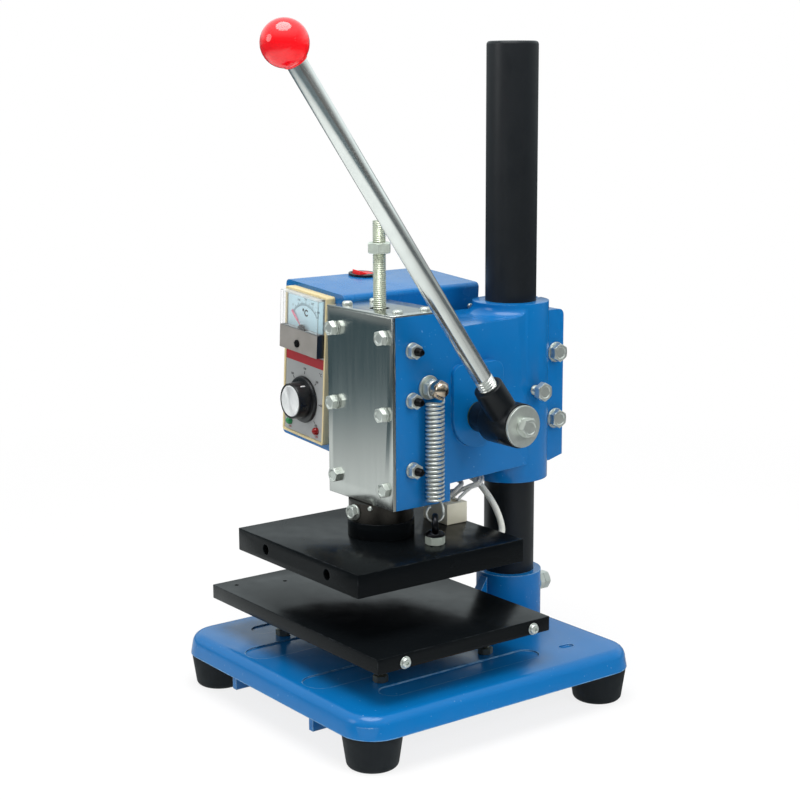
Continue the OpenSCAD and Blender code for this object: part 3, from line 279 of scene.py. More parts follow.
def metal(name, colour, rough, vary=0.1, scale=60, stretch=(1, 1, 1), streak=0.05, scratch=0.0,
          soft=0.0003, bare=1.0):
    """Metal, of which the share that is not bare has the milky bloom of a passivated plating."""
    f = Finish(name, metal=bare)
    tone = f.clouds(colour, vary, f.noise(scale, stretch))
    f.soften(soft)
    fine = f.noise(scale * 12, stretch, detail=2)
    if scratch:
        f.bump(fine, scratch, 0.0001)
    return f.done(tone, f.span(fine, 0.3, 0.7, rough - streak, rough + streak))


def moulded(name, colour, rough, vary=0.06, grain=1500, bump=0.08, soft=0.0004, **sockets):
    """Moulded plastic, rubber, ceramic or printed ink: a fine grain and an even tone."""
    f = Finish(name, **sockets)
    tone = f.clouds(colour, vary, f.noise(35))
    f.soften(soft)
    f.bump(f.noise(grain, detail=2), bump, 0.0001)
    return f.done(tone, f.span(f.noise(120), 0.3, 0.7, rough - 0.04, rough + 0.06))


def turned_disc(name, colour, rough):
    """Metal faced on a lathe: fine rings round the piece's own origin that draw the light out into rays."""
    f = Finish(name, metal=0.55, Anisotropic=0.95)
    tangent = f.tree.nodes.new("ShaderNodeTangent")
    tangent.direction_type = "RADIAL"
    tangent.axis = "Y"
    f.tree.links.new(tangent.outputs[0], f.shader.inputs["Tangent"])
    tone = f.mix(f.noise(300), shade(colour, 0.94), shade(colour, 1.04))
    return f.done(tone, f.span(f.noise(500), 0.3, 0.7, rough - 0.04, rough + 0.04))


BLUE = srgb(8, 103, 168)
blue_paint = painted("blue_enamel", BLUE, srgb(118, 178, 220), 0.2, specks=0.35, peel=0.05,
                     Specular_IOR_Level=0.35)
# The base's edges are lighter still, most along its recess rims: scuffed paint and painted highlight.
base_paint = painted("base_enamel", BLUE, srgb(150, 192, 216), 0.2, scuff_and_highlight=0.8, patchy_from=0.26, specks=0.35,
                     peel=0.05, Specular_IOR_Level=0.35)
box_paint = painted("blue_sheet_paint", BLUE, srgb(118, 178, 220), 0.24, specks=0.5, scuff_and_highlight=0.2,
                    Specular_IOR_Level=0.6)
column_paint = painted("black_column", srgb(25, 28, 31), srgb(84, 88, 92), 0.4, scuff_and_highlight=0.2, peel=0.02,
                       Specular_IOR_Level=0.3)
plate_black = painted("black_plate", srgb(13, 16, 18), srgb(82, 87, 90), 0.2, vary=0.12, scuff_and_highlight=0.4,
                      peel=0.01, Specular_IOR_Level=0.1)
hot_black = painted("hot_plate_black", srgb(12, 15, 17), srgb(82, 87, 90), 0.22, vary=0.12, scuff_and_highlight=0.4,
                    peel=0.01, Specular_IOR_Level=0.06)
hub_black = painted("black_hub", srgb(16, 19, 22), srgb(60, 64, 68), 0.32, peel=0.04, scuff_and_highlight=0.15,
                    Specular_IOR_Level=0.25)
rubber = moulded("rubber", srgb(22, 27, 31), 0.6, grain=700, bump=0.25, Specular_IOR_Level=0.2)
zinc = metal("zinc", srgb(216, 221, 214), 0.34, vary=0.06, scale=240, bare=0.8)
wire_zinc = metal("wire_zinc", srgb(226, 228, 222), 0.3, vary=0.04, scale=240, bare=0.85)
nut_zinc = metal("bright_nut_zinc", srgb(214, 224, 212), 0.34, vary=0.06, scale=240, bare=0.5)
rod_zinc = metal("yellow_zinc", srgb(198, 203, 184), 0.34, vary=0.08, scale=200, bare=0.8)
# The studs between the base and the table are a darker zinc: painted shade.
shaded_studs_zinc = metal("painted_shade_studs", srgb(116, 119, 110), 0.42, vary=0.12, scale=200, bare=0.8)
warm_zinc = metal("acorn_plating", srgb(212, 192, 170), 0.22, vary=0.05, scale=240)
dark_steel = metal("dark_steel", srgb(70, 66, 62), 0.32, vary=0.16, scale=110)
stainless = metal("brushed_stainless", srgb(192, 194, 190), 0.2, vary=0.04, scale=26, stretch=(1, 1, 0.06),
                  streak=0.02, scratch=0.008)
chrome = metal("chrome", srgb(236, 238, 234), 0.12, vary=0.03, scale=90, streak=0.02, bare=0.9)
black_oxide = metal("black_oxide", srgb(44, 44, 46), 0.34, vary=0.2, scale=200)
brass = metal("brass", srgb(196, 160, 92), 0.3)
cap_metal = turned_disc("turned_cap", srgb(252, 253, 252), 0.34)
black_plastic = moulded("black_plastic", srgb(22, 23, 25), 0.3)
matt_black = moulded("matt_black", srgb(8, 9, 10), 0.6, Specular_IOR_Level=0.1)
cream_plastic = moulded("cream_plastic", srgb(220, 203, 154), 0.4, vary=0.05)
face_grey = moulded("face_grey", srgb(158, 161, 161), 0.36, grain=2600, bump=0.12, vary=0.03)
dial_card = moulded("dial_card", srgb(192, 224, 234), 0.5, vary=0.02)
print_black = moulded("print_black", srgb(30, 30, 34), 0.5)
dial_ink = moulded("dial_ink", srgb(112, 132, 142), 0.5)
print_red = moulded("print_red", srgb(164, 28, 38), 0.45)
white_mark_finish = moulded("white_mark_finish", srgb(232, 232, 230), 0.45)
needle_pink = moulded("needle_pink", srgb(236, 128, 152), 0.4)
red_plastic = moulded("red_plastic", srgb(246, 20, 30), 0.1, vary=0.03, grain=300, bump=0.02,
                      Coat_Weight=0.5, Coat_Roughness=0.05)
rocker_red = moulded("rocker_red", srgb(236, 34, 38), 0.22)
green_lamp = moulded("green_lamp", srgb(48, 138, 84), 0.14)
red_lamp = moulded("red_lamp", srgb(134, 14, 14), 0.14)
ceramic = moulded("ceramic", srgb(224, 221, 200), 0.45, grain=900, bump=0.2, vary=0.05)


def meter_case():
    """The meter's cover: clear over the dial, with a whitish painted sheen towards grazing angles and grey
    lines at its edges; smoky below, with painted shade on the smoky half's sides.
    """
    f = Finish("meter_case")
    smoke_line = box_point(0, 0, PANEL_TOP - SMOKE_DOWN)
    low = f.dot(f.coord, BOX_UP)
    line = (ORIGIN + smoke_line * MM).dot(BOX_UP)
    smoke = f.span(low, line + 0.0002, line - 0.0002)
    edge = f.edges(0.0008)
    # A whitish painted sheen shows more towards grazing angles and along the edges.
    rim = f.add("ShaderNodeLayerWeight", Blend=0.5).outputs["Facing"]
    glass = f.math("MAXIMUM", f.span(rim, 0.4, 0.9, 0.02, 0.75), f.times(edge, 0.85))
    f.feed(f.shader.inputs["Alpha"], f.math("MAXIMUM", glass, smoke))
    geometry = f.tree.nodes.new("ShaderNodeNewGeometry")
    # Faces of the smoky half that don't face the front get a dark colour: painted shade.
    shaded_ends = f.span(f.dot(geometry.outputs["Normal"], (0, 1, 0)), -0.9, -0.4)
    front = f.mix(f.span(f.noise(40), 0.3, 0.7), srgb(134, 131, 126), srgb(152, 149, 144))
    painted_sheen = f.mix(f.noise(60), srgb(214, 222, 224), srgb(236, 240, 240))
    painted_sheen = f.mix(edge, painted_sheen, srgb(112, 110, 104))
    f.soften(0.0004)
    tone = f.mix(smoke, painted_sheen, f.mix(shaded_ends, front, srgb(40, 44, 47)))
    return f.done(tone, f.span(f.noise(90), 0.3, 0.7, 0.06, 0.14))


WEAVE = 9


def sleeved(name, colour):
    """A woven sleeve: two sets of strands that cross as they go round and along."""
    f = Finish(name)
    uv = f.add("ShaderNodeUVMap").outputs[0]
    strands = []
    for lean in (1, -1):
        mapping = f.add("ShaderNodeMapping", Vector=uv)
        mapping.inputs["Rotation"].default_value = (0, 0, lean * math.radians(45))
        wave = f.add("ShaderNodeTexWave", Vector=mapping.outputs["Vector"], Scale=WEAVE, Distortion=0.4)
        strands.append(wave.outputs["Fac"])
    woven = f.times(strands[0], strands[1])
    f.bump(woven, 0.35, 0.0003)
    tone = f.mix(f.span(woven, 0.0, 0.6), shade(colour, 0.86), shade(colour, 1.05))
    return f.done(tone, f.span(f.noise(300), 0.3, 0.7, 0.55, 0.75))


meter_cover = meter_case()
cable_white = sleeved("white_sleeve", srgb(228, 230, 222))
cable_grey = sleeved("grey_sleeve", srgb(196, 198, 194))
lead_grey = sleeved("lead_sleeve", srgb(212, 214, 210))


# Mesh building: rings of points round an axis, joined into one closed skin
def hex_radius(flats, angle):
    return flats / 2 / math.cos(angle % math.radians(60) - math.radians(30))


class Shape:
    """Closed skins, gathered into the mesh of one piece."""

    def __init__(self):
        self.bm = bmesh.new()

    def rings(self, matrix, rows, n=48, closed=False, mat=0):
        """Each row is (radius, height), where either may be a function of the angle."""
        made = []
        for radius, height in rows:
            ring = []
            pole = not callable(radius) and radius < 1e-6
            for k in range(1 if pole else n):
                a = 2 * math.pi * k / n
                r = radius(a) if callable(radius) else radius
                z = height(a) if callable(height) else height
                ring.append(self.bm.verts.new(matrix @ Vector((r * math.cos(a), r * math.sin(a), z))))
            made.append(ring)
        pairs = list(zip(made, made[1:])) + ([(made[-1], made[0])] if closed else [])
        for low, high in pairs:
            for k in range(n):
                corners = [low[k % len(low)], low[(k + 1) % n % len(low)],
                           high[(k + 1) % n % len(high)], high[k % len(high)]]
                corners = list(dict.fromkeys(corners))
                if len(corners) > 2:
                    self.bm.faces.new(corners).material_index = mat

    def hexagon(self, matrix, flats, h, bore=0.0, low=True, dish=0.0, mat=0):
        """A nut or a bolt head with chamfered corners, above only where low is false."""
        flat_r = 0.475 * flats
        side = lambda a: hex_radius(flats, a)
        drop = lambda a: (hex_radius(flats, a) - flat_r) * 0.55
        rows = [(flat_r, 0), (side, drop)] if low else [(side, 0)]
        rows += [(side, lambda a: h - drop(a)), (flat_r, h)]
        if bore:
            self.rings(matrix, [(bore, 0.0)] + rows + [(bore, h)], closed=True, mat=mat)
        else:
            if dish:
                rows += [(flat_r * 0.78, h), (flat_r * 0.66, h - dish)]
            self.rings(matrix, [(0, 0)] + rows + [(0, h - dish)], mat=mat)

    def thread(self, matrix, r, z0, z1, pitch, depth=None, n=24, fine=6, mat=0):
        """A screw thread as a skin of fine steps, its end chamfered."""
        depth = depth or 0.6 * pitch
        steps = max(4, round((z1 - z0) / pitch * fine))
        rows = [(0, z0)]
        for i in range(steps + 1):
            z = z0 + (z1 - z0) * i / steps
            limit = r - depth + min(z1 - z, z - z0 + 2 * depth)

            def radius(a, z=z, limit=limit):
                t = (z / pitch - a / (2 * math.pi)) % 1.0
                return min(limit, r - depth * min(1.0, max(0.0, 1.35 * abs(2 * t - 1) - 0.1)))
            rows.append((radius, z))
        self.rings(matrix, rows + [(0, z1)], n=n, mat=mat)

    def washer(self, matrix, inner, outer, h):
        c = min(0.3, h / 4)
        rim = [(outer - c, 0), (outer, c), (outer, h - c), (outer - c, h)]
        self.rings(matrix, [(inner, 0)] + rim + [(inner, h)], n=40, closed=True)

    def button(self, matrix, outer, h, socket):
        """A round screw head with a hexagon socket."""
        rows = [(0, 0), (outer, 0), (outer, 0.18 * h)]
        rim = 0.62 * outer
        for i in range(1, 6):
            a = math.pi / 2 * i / 5
            rows.append((rim + (outer - rim) * math.cos(a), h * (0.18 + 0.82 * math.sin(a))))
        recess = lambda a: hex_radius(socket, a)
        self.rings(matrix, rows + [(recess, h), (recess, 0.35 * h), (0, 0.3 * h)])

    def prism(self, matrix, outline, z0, z1, mat=0):
        low, high = ([self.bm.verts.new(matrix @ Vector((x, y, z))) for x, y in outline] for z in (z0, z1))
        n = len(outline)
        sides = [(low[k], low[(k + 1) % n], high[(k + 1) % n], high[k]) for k in range(n)]
        for face in [low[::-1], high] + sides:
            self.bm.faces.new(face).material_index = mat

    def block(self, matrix, x0, y0, z0, x1, y1, z1, mat=0):
        self.prism(matrix, [(x0, y0), (x1, y0), (x1, y1), (x0, y1)], z0, z1, mat)

    def tube(self, points, r, sides):
        """A round tube along points in metres, with its own map round and along."""
        uv = self.bm.loops.layers.uv.verify()
        last = len(points) - 1
        tangent = [(points[min(i + 1, last)] - points[max(i - 1, 0)]).normalized() for i in range(last + 1)]
        normal = tangent[0].orthogonal().normalized()
        rings, along = [], [0.0]
        for i, p in enumerate(points):
            normal = (normal - normal.dot(tangent[i]) * tangent[i]).normalized()
            side = tangent[i].cross(normal)
            rings.append([self.bm.verts.new(p + r * (math.cos(a) * normal + math.sin(a) * side))
                          for a in (2 * math.pi * k / sides for k in range(sides))])
            if i:
                along.append(along[-1] + (p - points[i - 1]).length / (2 * math.pi * r))
        for i in range(last):
            for k in range(sides):
                j = (k + 1) % sides
                face = self.bm.faces.new([rings[i][k], rings[i][j], rings[i + 1][j], rings[i + 1][k]])
                for loop, (u, v) in zip(face.loops, ((k, i), (k + 1, i), (k + 1, i + 1), (k, i + 1))):
                    loop[uv].uv = (u / sides, along[v])
        for ring in (rings[0][::-1], rings[-1]):
            self.bm.faces.new(ring)


def finish_mesh(mesh, angle):
    mesh.shade_smooth()
    mesh.set_sharp_from_angle(angle=math.radians(angle))


def make(shape, name, mats, body=None, replaces=(), angle=32, origin=Vector()):
    """One piece from a shape: its materials, what it rides on and what it stands for."""
    bmesh.ops.recalc_face_normals(shape.bm, faces=shape.bm.faces[:])
    mesh = bpy.data.meshes.new(name)
    shape.bm.to_mesh(mesh)
    shape.bm.free()
    mesh.transform(Matrix.Translation(-origin))
    for mat in mats if isinstance(mats, (list, tuple)) else [mats]:
        mesh.materials.append(mat)
    finish_mesh(mesh, angle)
    obj = bpy.data.objects.new(name, mesh)
    obj.location = origin
    scene.collection.objects.link(obj)
    if body:
        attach(obj, body)
    if replaces:
        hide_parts(*replaces)
    return obj


# Cables between the hot plate and the control box
def smooth_path(points, steps):
    p = [Vector(q) for q in points]
    out = [p[0]]
    for i in range(1, len(p) - 2):
        a, b, c, d = p[i - 1:i + 3]
        for s in range(steps):
            t = s / steps
            out.append(0.5 * (2 * b + (c - a) * t + (2 * a - 5 * b + 4 * c - d) * t * t
                              + (3 * b - a - 3 * c + d) * t ** 3))
    return out + p[-2:]


def grommet_end(y, drop):
    return box_point(-22, y, -130 - drop)


CABLES = {
    "heater_cable_right": (5, [
        (HEATER_X, -53, HEATER_Z), (HEATER_X, -47, HEATER_Z), (37.5, -39, HEATER_Z + 4),
        (30, -37, HEATER_Z + 16), (18, -37, HEATER_Z + 28), (0, -37, HEATER_Z + 38),
        (-25, -37, HEATER_Z + 40), (-48, -37, HEATER_Z + 39),
        grommet_end(-37, 14), grommet_end(-37, 5), grommet_end(-37, 0)]),
    "heater_cable_left": (5, [
        (-HEATER_X, -53, HEATER_Z), (-HEATER_X, -47, HEATER_Z), (-44.5, -42, HEATER_Z + 6),
        (-56, -45, HEATER_Z + 22), (-66, -48, HEATER_Z + 36),
        grommet_end(-48, 12), grommet_end(-48, 5), grommet_end(-48, 0)]),
    "sensor_lead": (3.6, [
        (8, -68.8, 146.7), (8, -68.8, 150.7), (12, -63.8, 156.7), (8, -56, 160.7), (-14, -57, 162.7),
        (-44, -59, 162.7), grommet_end(-60, 13), grommet_end(-60, 5), grommet_end(-60, 0)]),
}
for name, (diameter, route) in CABLES.items():
    path = [at(*p) for p in smooth_path(route, 8)]
    shape = Shape()
    shape.tube(path, diameter / 2 * MM, 16)
    lead = name == "sensor_lead"
    cable = make(shape, name + "_sleeve", cable_grey if lead else cable_white,
                 replaces=[name], angle=60)
    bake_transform(cable)

# Four thin leads from the terminals, laid together towards the box
LEAD_D, LEAD_GAP = 2.4, 2.6
shape = Shape()
for i in range(4):
    x, side, rise = -10 + 7 * i, LEAD_GAP * (i % 2), LEAD_GAP * (i // 2)
    route = [(x, -61, 146.9), (x + 0.5, -60, 149.5), (x / 2 + 9, -54 + side, 154 + rise),
             (17 + i, -47 + side, 160 + rise), (8, -43 + side, 165 + rise), (-18, -44 + side, 166 + rise),
             (-48, -50 + side, 164 + rise), grommet_end(-55 + side, 12 - rise),
             grommet_end(-55 + side, 5), grommet_end(-55 + side, 0)]
    shape.tube([at(*p) for p in smooth_path(route, 8)], LEAD_D / 2 * MM, 10)
leads = make(shape, "terminal_leads", lead_grey, angle=60)
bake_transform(leads)

# The return spring: hook, bend, curls, bend and hook in one wire
SPRING_R, SPRING_WIRE, SPRING_COILS = 6.25, 2.0, 24
HOOK_TURN, HOOK_SWEEP, BEND_START = 53, 240, 45
HOOK_LOW_Z, HOOK_HIGH_Z = 153.287, 246.163
COIL_LOW_Z, COIL_HIGH_Z = 162.787, 236.963
BEND_STEPS, CURL_STEP = 8, 15


def turned(r, degrees, z):
    a = math.radians(degrees)
    return at(SPRING_X + r * math.cos(a), SPRING_Y + r * math.sin(a), z)


def hook(start, plane, middle, steps=18):
    for i in range(steps + 1):
        a = math.radians(start + HOOK_SWEEP * i / steps)
        yield turned(SPRING_R * math.cos(a), plane, middle + SPRING_R * math.sin(a))


wire = list(hook(360 - HOOK_SWEEP, HOOK_TURN, HOOK_LOW_Z))
for i in range(1, BEND_STEPS):
    t = i / BEND_STEPS
    rise = (COIL_LOW_Z - HOOK_LOW_Z) * (1 - (1 - t) ** 2)
    wire.append(turned(SPRING_R, HOOK_TURN + 90 * t, HOOK_LOW_Z + rise))
curl_turn = 360 * (SPRING_COILS - 1) + 270 - HOOK_TURN + BEND_START
curl_steps = round(curl_turn / CURL_STEP)
for i in range(curl_steps + 1):
    t = i / curl_steps
    rise = (COIL_HIGH_Z - COIL_LOW_Z) * t
    wire.append(turned(SPRING_R, HOOK_TURN + 90 + curl_turn * t, COIL_LOW_Z + rise))
for i in range(1, BEND_STEPS):
    t = i / BEND_STEPS
    wire.append(turned(SPRING_R, BEND_START + (90 - BEND_START) * t,
                       COIL_HIGH_Z + (HOOK_HIGH_Z - COIL_HIGH_Z) * t * t))
wire += list(hook(0, 90, HOOK_HIGH_Z))
shape = Shape()
shape.tube(wire, SPRING_WIRE / 2 * MM, 12)
spring = make(shape, "return_spring_wire", wire_zinc, replaces=["return_spring"], angle=60)
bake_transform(spring)


# Fasteners with chamfered heads and real threads, by their metric size in millimetres
M4, M6, M8 = 4, 6, 8
PITCH = {M4: 0.7, M6: 1, M8: 1.25}
FLATS = {M6: 10, M8: 13}
HEAD_AND_DISH = {M6: (4, 0.5), M8: (5.5, 0.6)}
M6_NUT, M8_NUT = 5, 6.5
WASHER = 1.6
BORE_PLAY = 0.1
SEAT_GAP = 0.3
SOCKET_KEY = 2.5
# The photograph shows the lock nuts thinner and the eye thicker than the part's source has them
LOCK_NUT = 1.8
EYE_R, EYE_WIRE_R = 6, 2.5


def fastener(name, build, body, mats=zinc):
    """A detailed piece that stands for the CAD node of that name."""
    shape = Shape()
    build(shape)
    make(shape, name + "_detail", mats, body, [name])


def raised(m, h):
    return m @ Matrix.Translation((0, 0, h))


def shank(s, m, size, low, high):
    s.thread(m, size / 2, low, high, PITCH[size])


def nut(s, m, size, h, mat=0):
    s.hexagon(m, FLATS[size], h, bore=size / 2 + BORE_PLAY, mat=mat)


def bolt_head(s, m, size):
    h, dish = HEAD_AND_DISH[size]
    s.hexagon(m, FLATS[size], h, low=False, dish=dish)


def disc(s, m, size, outer_r, h=WASHER):
    s.washer(m, size / 2 + BORE_PLAY, outer_r, h)


def plate_bolts(s):
    """Six bolts, of which the upper four have a thin lock nut."""
    for x in (-BLOCK_BOLT_X, BLOCK_BOLT_X):
        for z in PLATE_BOLT_Z:
            m = place(x, PLATE_FRONT_Y, z, TO_FRONT)
            lift = 0
            if z > PLATE_BOLT_Z[0]:
                nut(s, m, M6, LOCK_NUT)
                lift = LOCK_NUT + SEAT_GAP
            shank(s, m, M6, -15, lift + 0.5)
            bolt_head(s, place(x, PLATE_FRONT_Y - lift, z, TO_FRONT, spin=15), M6)


def cover_screws(s):
    for x in (-BLOCK_BOLT_X, BLOCK_BOLT_X):
        for y in COVER_SCREW_Y:
            m = place(x, y, COVER_TOP)
            s.button(m, 4, 2.6, SOCKET_KEY)
            shank(s, m, M4, -8, 0.4)


def gib_screws(s):
    """Set screws with a hexagon socket in their end."""
    socket = lambda a: hex_radius(3, a)
    for z in GIB_Z:
        m = place(HEAD_HALF, GIB_Y, z, TO_RIGHT)
        shank(s, m, M6, -15.15, 11.8)
        s.rings(m, [(2.35, 11.8), (2.1, 12.6), (socket, 12.6), (socket, 9.8), (0, 9.6)])


def gib_nuts(s):
    for z in GIB_Z:
        m = place(HEAD_HALF, GIB_Y, z, TO_RIGHT)
        disc(s, m, M6, 6)
        nut(s, raised(m, WASHER), M6, M6_NUT)


def clamp_bolts(s):
    for z in CLAMP_Z:
        m = place(EAR_X, CLAMP_Y, z, TO_RIGHT)
        disc(s, m, M8, 8)
        bolt_head(s, raised(m, WASHER), M8)
        shank(s, m, M8, -38, 1.7)
        m = place(-EAR_X, CLAMP_Y, z, TO_LEFT)
        disc(s, m, M8, 8)
        nut(s, raised(m, WASHER), M8, M8_NUT)


def head_set_bolt(s):
    m = place(SET_BOLT_X, 0, SET_BOLT_Z, TO_RIGHT)
    bolt_head(s, m, M8)
    shank(s, m, M8, -16.7, 0.1)


def spring_stud(s):
    """A stud with a washer and a nut on the head and an acorn nut that keeps the spring's hook."""
    m = place(HEAD_HALF, SPRING_Y, STUD_Z, TO_RIGHT)
    shank(s, m, M8, -10, ACORN_START + 4.4)
    disc(s, m, M8, 9)
    nut(s, raised(m, WASHER), M8, 5.1)
    m = raised(m, ACORN_START)
    nut(s, m, M8, 5.2, mat=1)
    angles = [math.pi / 2 * i / 8 for i in range(8)]
    dome = [(5.9 * math.cos(a), 5.1 + 4.1 * math.sin(a)) for a in angles]
    s.rings(m, [(0, 5.1)] + dome + [(0, 9.2)], mat=1)


def socket_bolt(s):
    m = place(0, SOCKET_BACK_Y, SOCKET_BOLT_Z, TO_BACK)
    nut(s, m, M8, M8_NUT)
    shank(s, m, M8, -7.9, 6.6)
    bolt_head(s, raised(m, M8_NUT), M8)


def table_studs(s):
    for x in (-TABLE_STUD_X, TABLE_STUD_X):
        for y in TABLE_STUD_Y:
            shank(s, place(x, y, 0), M6, BASE_TOP - 6, TABLE_BOTTOM + 5)
            for z in (BASE_TOP, TABLE_BOTTOM - M6_NUT):
                nut(s, place(x, y, z), M6, M6_NUT)


def table_screws(s):
    washer = 0.8
    for y in TABLE_SCREW_Y:
        m = place(TABLE_EDGE_X, y, TABLE_SCREW_Z, TO_RIGHT)
        disc(s, m, M4, 4.5, washer)
        s.button(raised(m, washer), 3.8, 2.2, SOCKET_KEY)
        shank(s, m, M4, -9.2, 1.0)


def hub_bolt(s):
    big_washer, small_washer = 2.5, 2
    m = place(HUB_END, 0, 0, TO_RIGHT, LEVER)
    disc(s, m, M8, 15.5, big_washer)
    disc(s, raised(m, big_washer), M8, 7, small_washer)
    bolt_head(s, raised(m, big_washer + small_washer), M8)
    shank(s, m, M8, -15.5, 4.6)


def ram_bolt(s):
    """The flange's bolt in front and the small screw beside it."""
    m = place(0, RAM_Y - FLANGE_FLAT, FLANGE_BOLT_Z, TO_FRONT)
    disc(s, m, M6, 6)
    bolt_head(s, raised(m, WASHER), M6)
    shank(s, m, M6, -12.4, 1.7)
    beside = place(0, RAM_Y, FLANGE_SCREW_Z, turn(FLANGE_SCREW_TURN, "Z"))
    s.thread(beside @ Matrix.Translation((0, -FLANGE_R, 0)) @ TO_FRONT, 1.75, -7, 1.2, 0.6)


def eye_bolt(s):
    """An eye that the spring's lower hook goes through, with a collar and a nut."""
    m = place(SPRING_X, SPRING_Y, PLATE_TOP)
    shank(s, m, M8, -5.5, 9.35)
    nut(s, m, M8, M8_NUT, mat=1)
    ring = place(SPRING_X, SPRING_Y, PLATE_TOP + EYE_CENTRE, turn(HOOK_TURN - 90, "Z") @ turn(90, "X"))
    angles = [2 * math.pi * i / 16 for i in range(16)]
    section = [(EYE_R + EYE_WIRE_R * math.cos(a), EYE_WIRE_R * math.sin(a)) for a in angles]
    s.rings(ring, section, closed=True)
    s.rings(m, [(0, 6.6), (7.2, 6.6), (7.4, 7.0), (7.0, 8.4), (4.4, 10.6), (0, 10.6)])


def stop_nut(s):
    s.hexagon(place(0, RAM_Y, STOP_NUT_Z, spin=20), 16, 8, bore=5.1)


def stop_rod(s):
    s.thread(place(0, RAM_Y, 0), 5, *STOP_ROD_Z, 1.5, depth=0.5, n=32)


fastener("plate_bolts", plate_bolts, "head")
fastener("cover_screws", cover_screws, "head")
fastener("gib_screws", gib_screws, "head", black_oxide)
fastener("gib_nuts", gib_nuts, "head")
fastener("clamp_bolts", clamp_bolts, "head")
fastener("head_set_bolt", head_set_bolt, "head")
fastener("spring_stud", spring_stud, "head", [zinc, warm_zinc])
fastener("socket_bolt", socket_bolt, "base")
fastener("table_studs", table_studs, "base", shaded_studs_zinc)
fastener("table_screws", table_screws, "base")
fastener("hub_bolt", hub_bolt, "lever")
fastener("ram_bolt", ram_bolt, "ram")
fastener("eye_bolt", eye_bolt, "ram", [black_oxide, nut_zinc])
fastener("stop_nut", stop_nut, "stop_nut", nut_zinc)
fastener("stop_rod", stop_rod, "ram", rod_zinc)


# Lever rod: bright bar with its threaded end in the hub
def lever_rod(s):
    m = place(LEVER_X, 0, 0, base=LEVER)
    s.thread(m, 7, 17, 45, 2.2, depth=1, n=64, fine=14, mat=1)
    lower = [(0, 44.5), (6.6, 44.5), (7, 45.2)]
    upper = [(7, 315.5), (6.4, 316.5), (5, 316.5), (5, 334), (0, 335)]
    s.rings(m, lower + upper, n=48)


fastener("lever_rod", lever_rod, "lever", [chrome, wire_zinc])


# Red ball: a sphere on a short neck with its parting line
def ball_knob(s):
    m = place(LEVER_X, 0, BALL_CENTRE, base=LEVER)
    rows = [(5.1, -14.5), (8.2, -14.5), (8.5, -14.2), (8.5, -13.7)]
    steps = 59
    for i in range(steps + 1):
        a = -58 + 147 * i / steps
        r = BALL_R + (-0.12 if abs(a) < 1 else 0)
        rows.append((r * math.cos(math.radians(a)), r * math.sin(math.radians(a))))
    s.rings(m, rows + [(0, BALL_R)], n=64)


fastener("ball_knob", ball_knob, "lever", red_plastic)


# Printed marks of the controller: thin raised ink
INK = 0.12
KNOB_MARKS, KNOB_SWING = 7, 135
DIAL_TICKS, DIAL_DASHES, DIAL_NUMBERS = 41, 34, 5


def panel_place(right, down, y, spin=0):
    """A place on the controller, from the upper left corner of its frame, facing the operator."""
    return place(PANEL_LEFT + right, y, PANEL_TOP - down, TO_FRONT, BOX, spin)


def mark(s, matrix, x0, y0, x1, y1, mat=0):
    s.block(matrix, x0, y0, 0.0, x1, y1, INK, mat)


def text_mesh(s, matrix, text, size, mat=0, bold=0.0):
    curve = bpy.data.curves.new("mark", "FONT")
    curve.body = text
    curve.size = size
    curve.offset = bold
    curve.align_x = "CENTER"
    curve.align_y = "CENTER"
    curve.extrude = INK / 2
    curve.resolution_u = 3
    temp = bpy.data.objects.new("mark", curve)
    mesh = bpy.data.meshes.new_from_object(temp)
    mesh.transform(matrix @ Matrix.Translation((0, 0, INK / 2)))
    before = len(s.bm.faces)
    s.bm.from_mesh(mesh)
    s.bm.faces.ensure_lookup_table()
    for face in s.bm.faces[before:]:
        face.material_index = mat
    bpy.data.objects.remove(temp)
    bpy.data.curves.remove(curve)
    bpy.data.meshes.remove(mesh)


def face_marks(s):
    """The bare red band, the knob's scale, and ON and OFF under the lamps."""
    mark(s, panel_place(PANEL_MID, 53.5, FACE_Y), -26.2, -4, 26.2, 4, mat=1)
    m = panel_place(PANEL_MID, KNOB_DOWN, FACE_Y)
    for i in range(KNOB_MARKS):
        lean = -KNOB_SWING + 2 * KNOB_SWING * i / (KNOB_MARKS - 1)
        a = math.radians(lean)
        mark(s, m @ turn(-lean, "Z"), -0.3, 20.2, 0.3, 22.6)
        number_place = m @ Matrix.Translation((24.4 * math.sin(a), 24.6 * math.cos(a), 0))
        text_mesh(s, number_place, str(50 * i), 2.6)
    text_mesh(s, panel_place(50.5, 62, FACE_Y), "°C", 3.6)
    lamp_side, words_down = 18.6, 112.3
    text_mesh(s, panel_place(PANEL_MID - lamp_side, words_down, FACE_Y), "ON", 2.4, mat=1)
    text_mesh(s, panel_place(PANEL_MID + lamp_side, words_down, FACE_Y), "OFF", 2.4, mat=1)


shape = Shape()
face_marks(shape)
make(shape, "controller_marks", [print_black, print_red], "head")


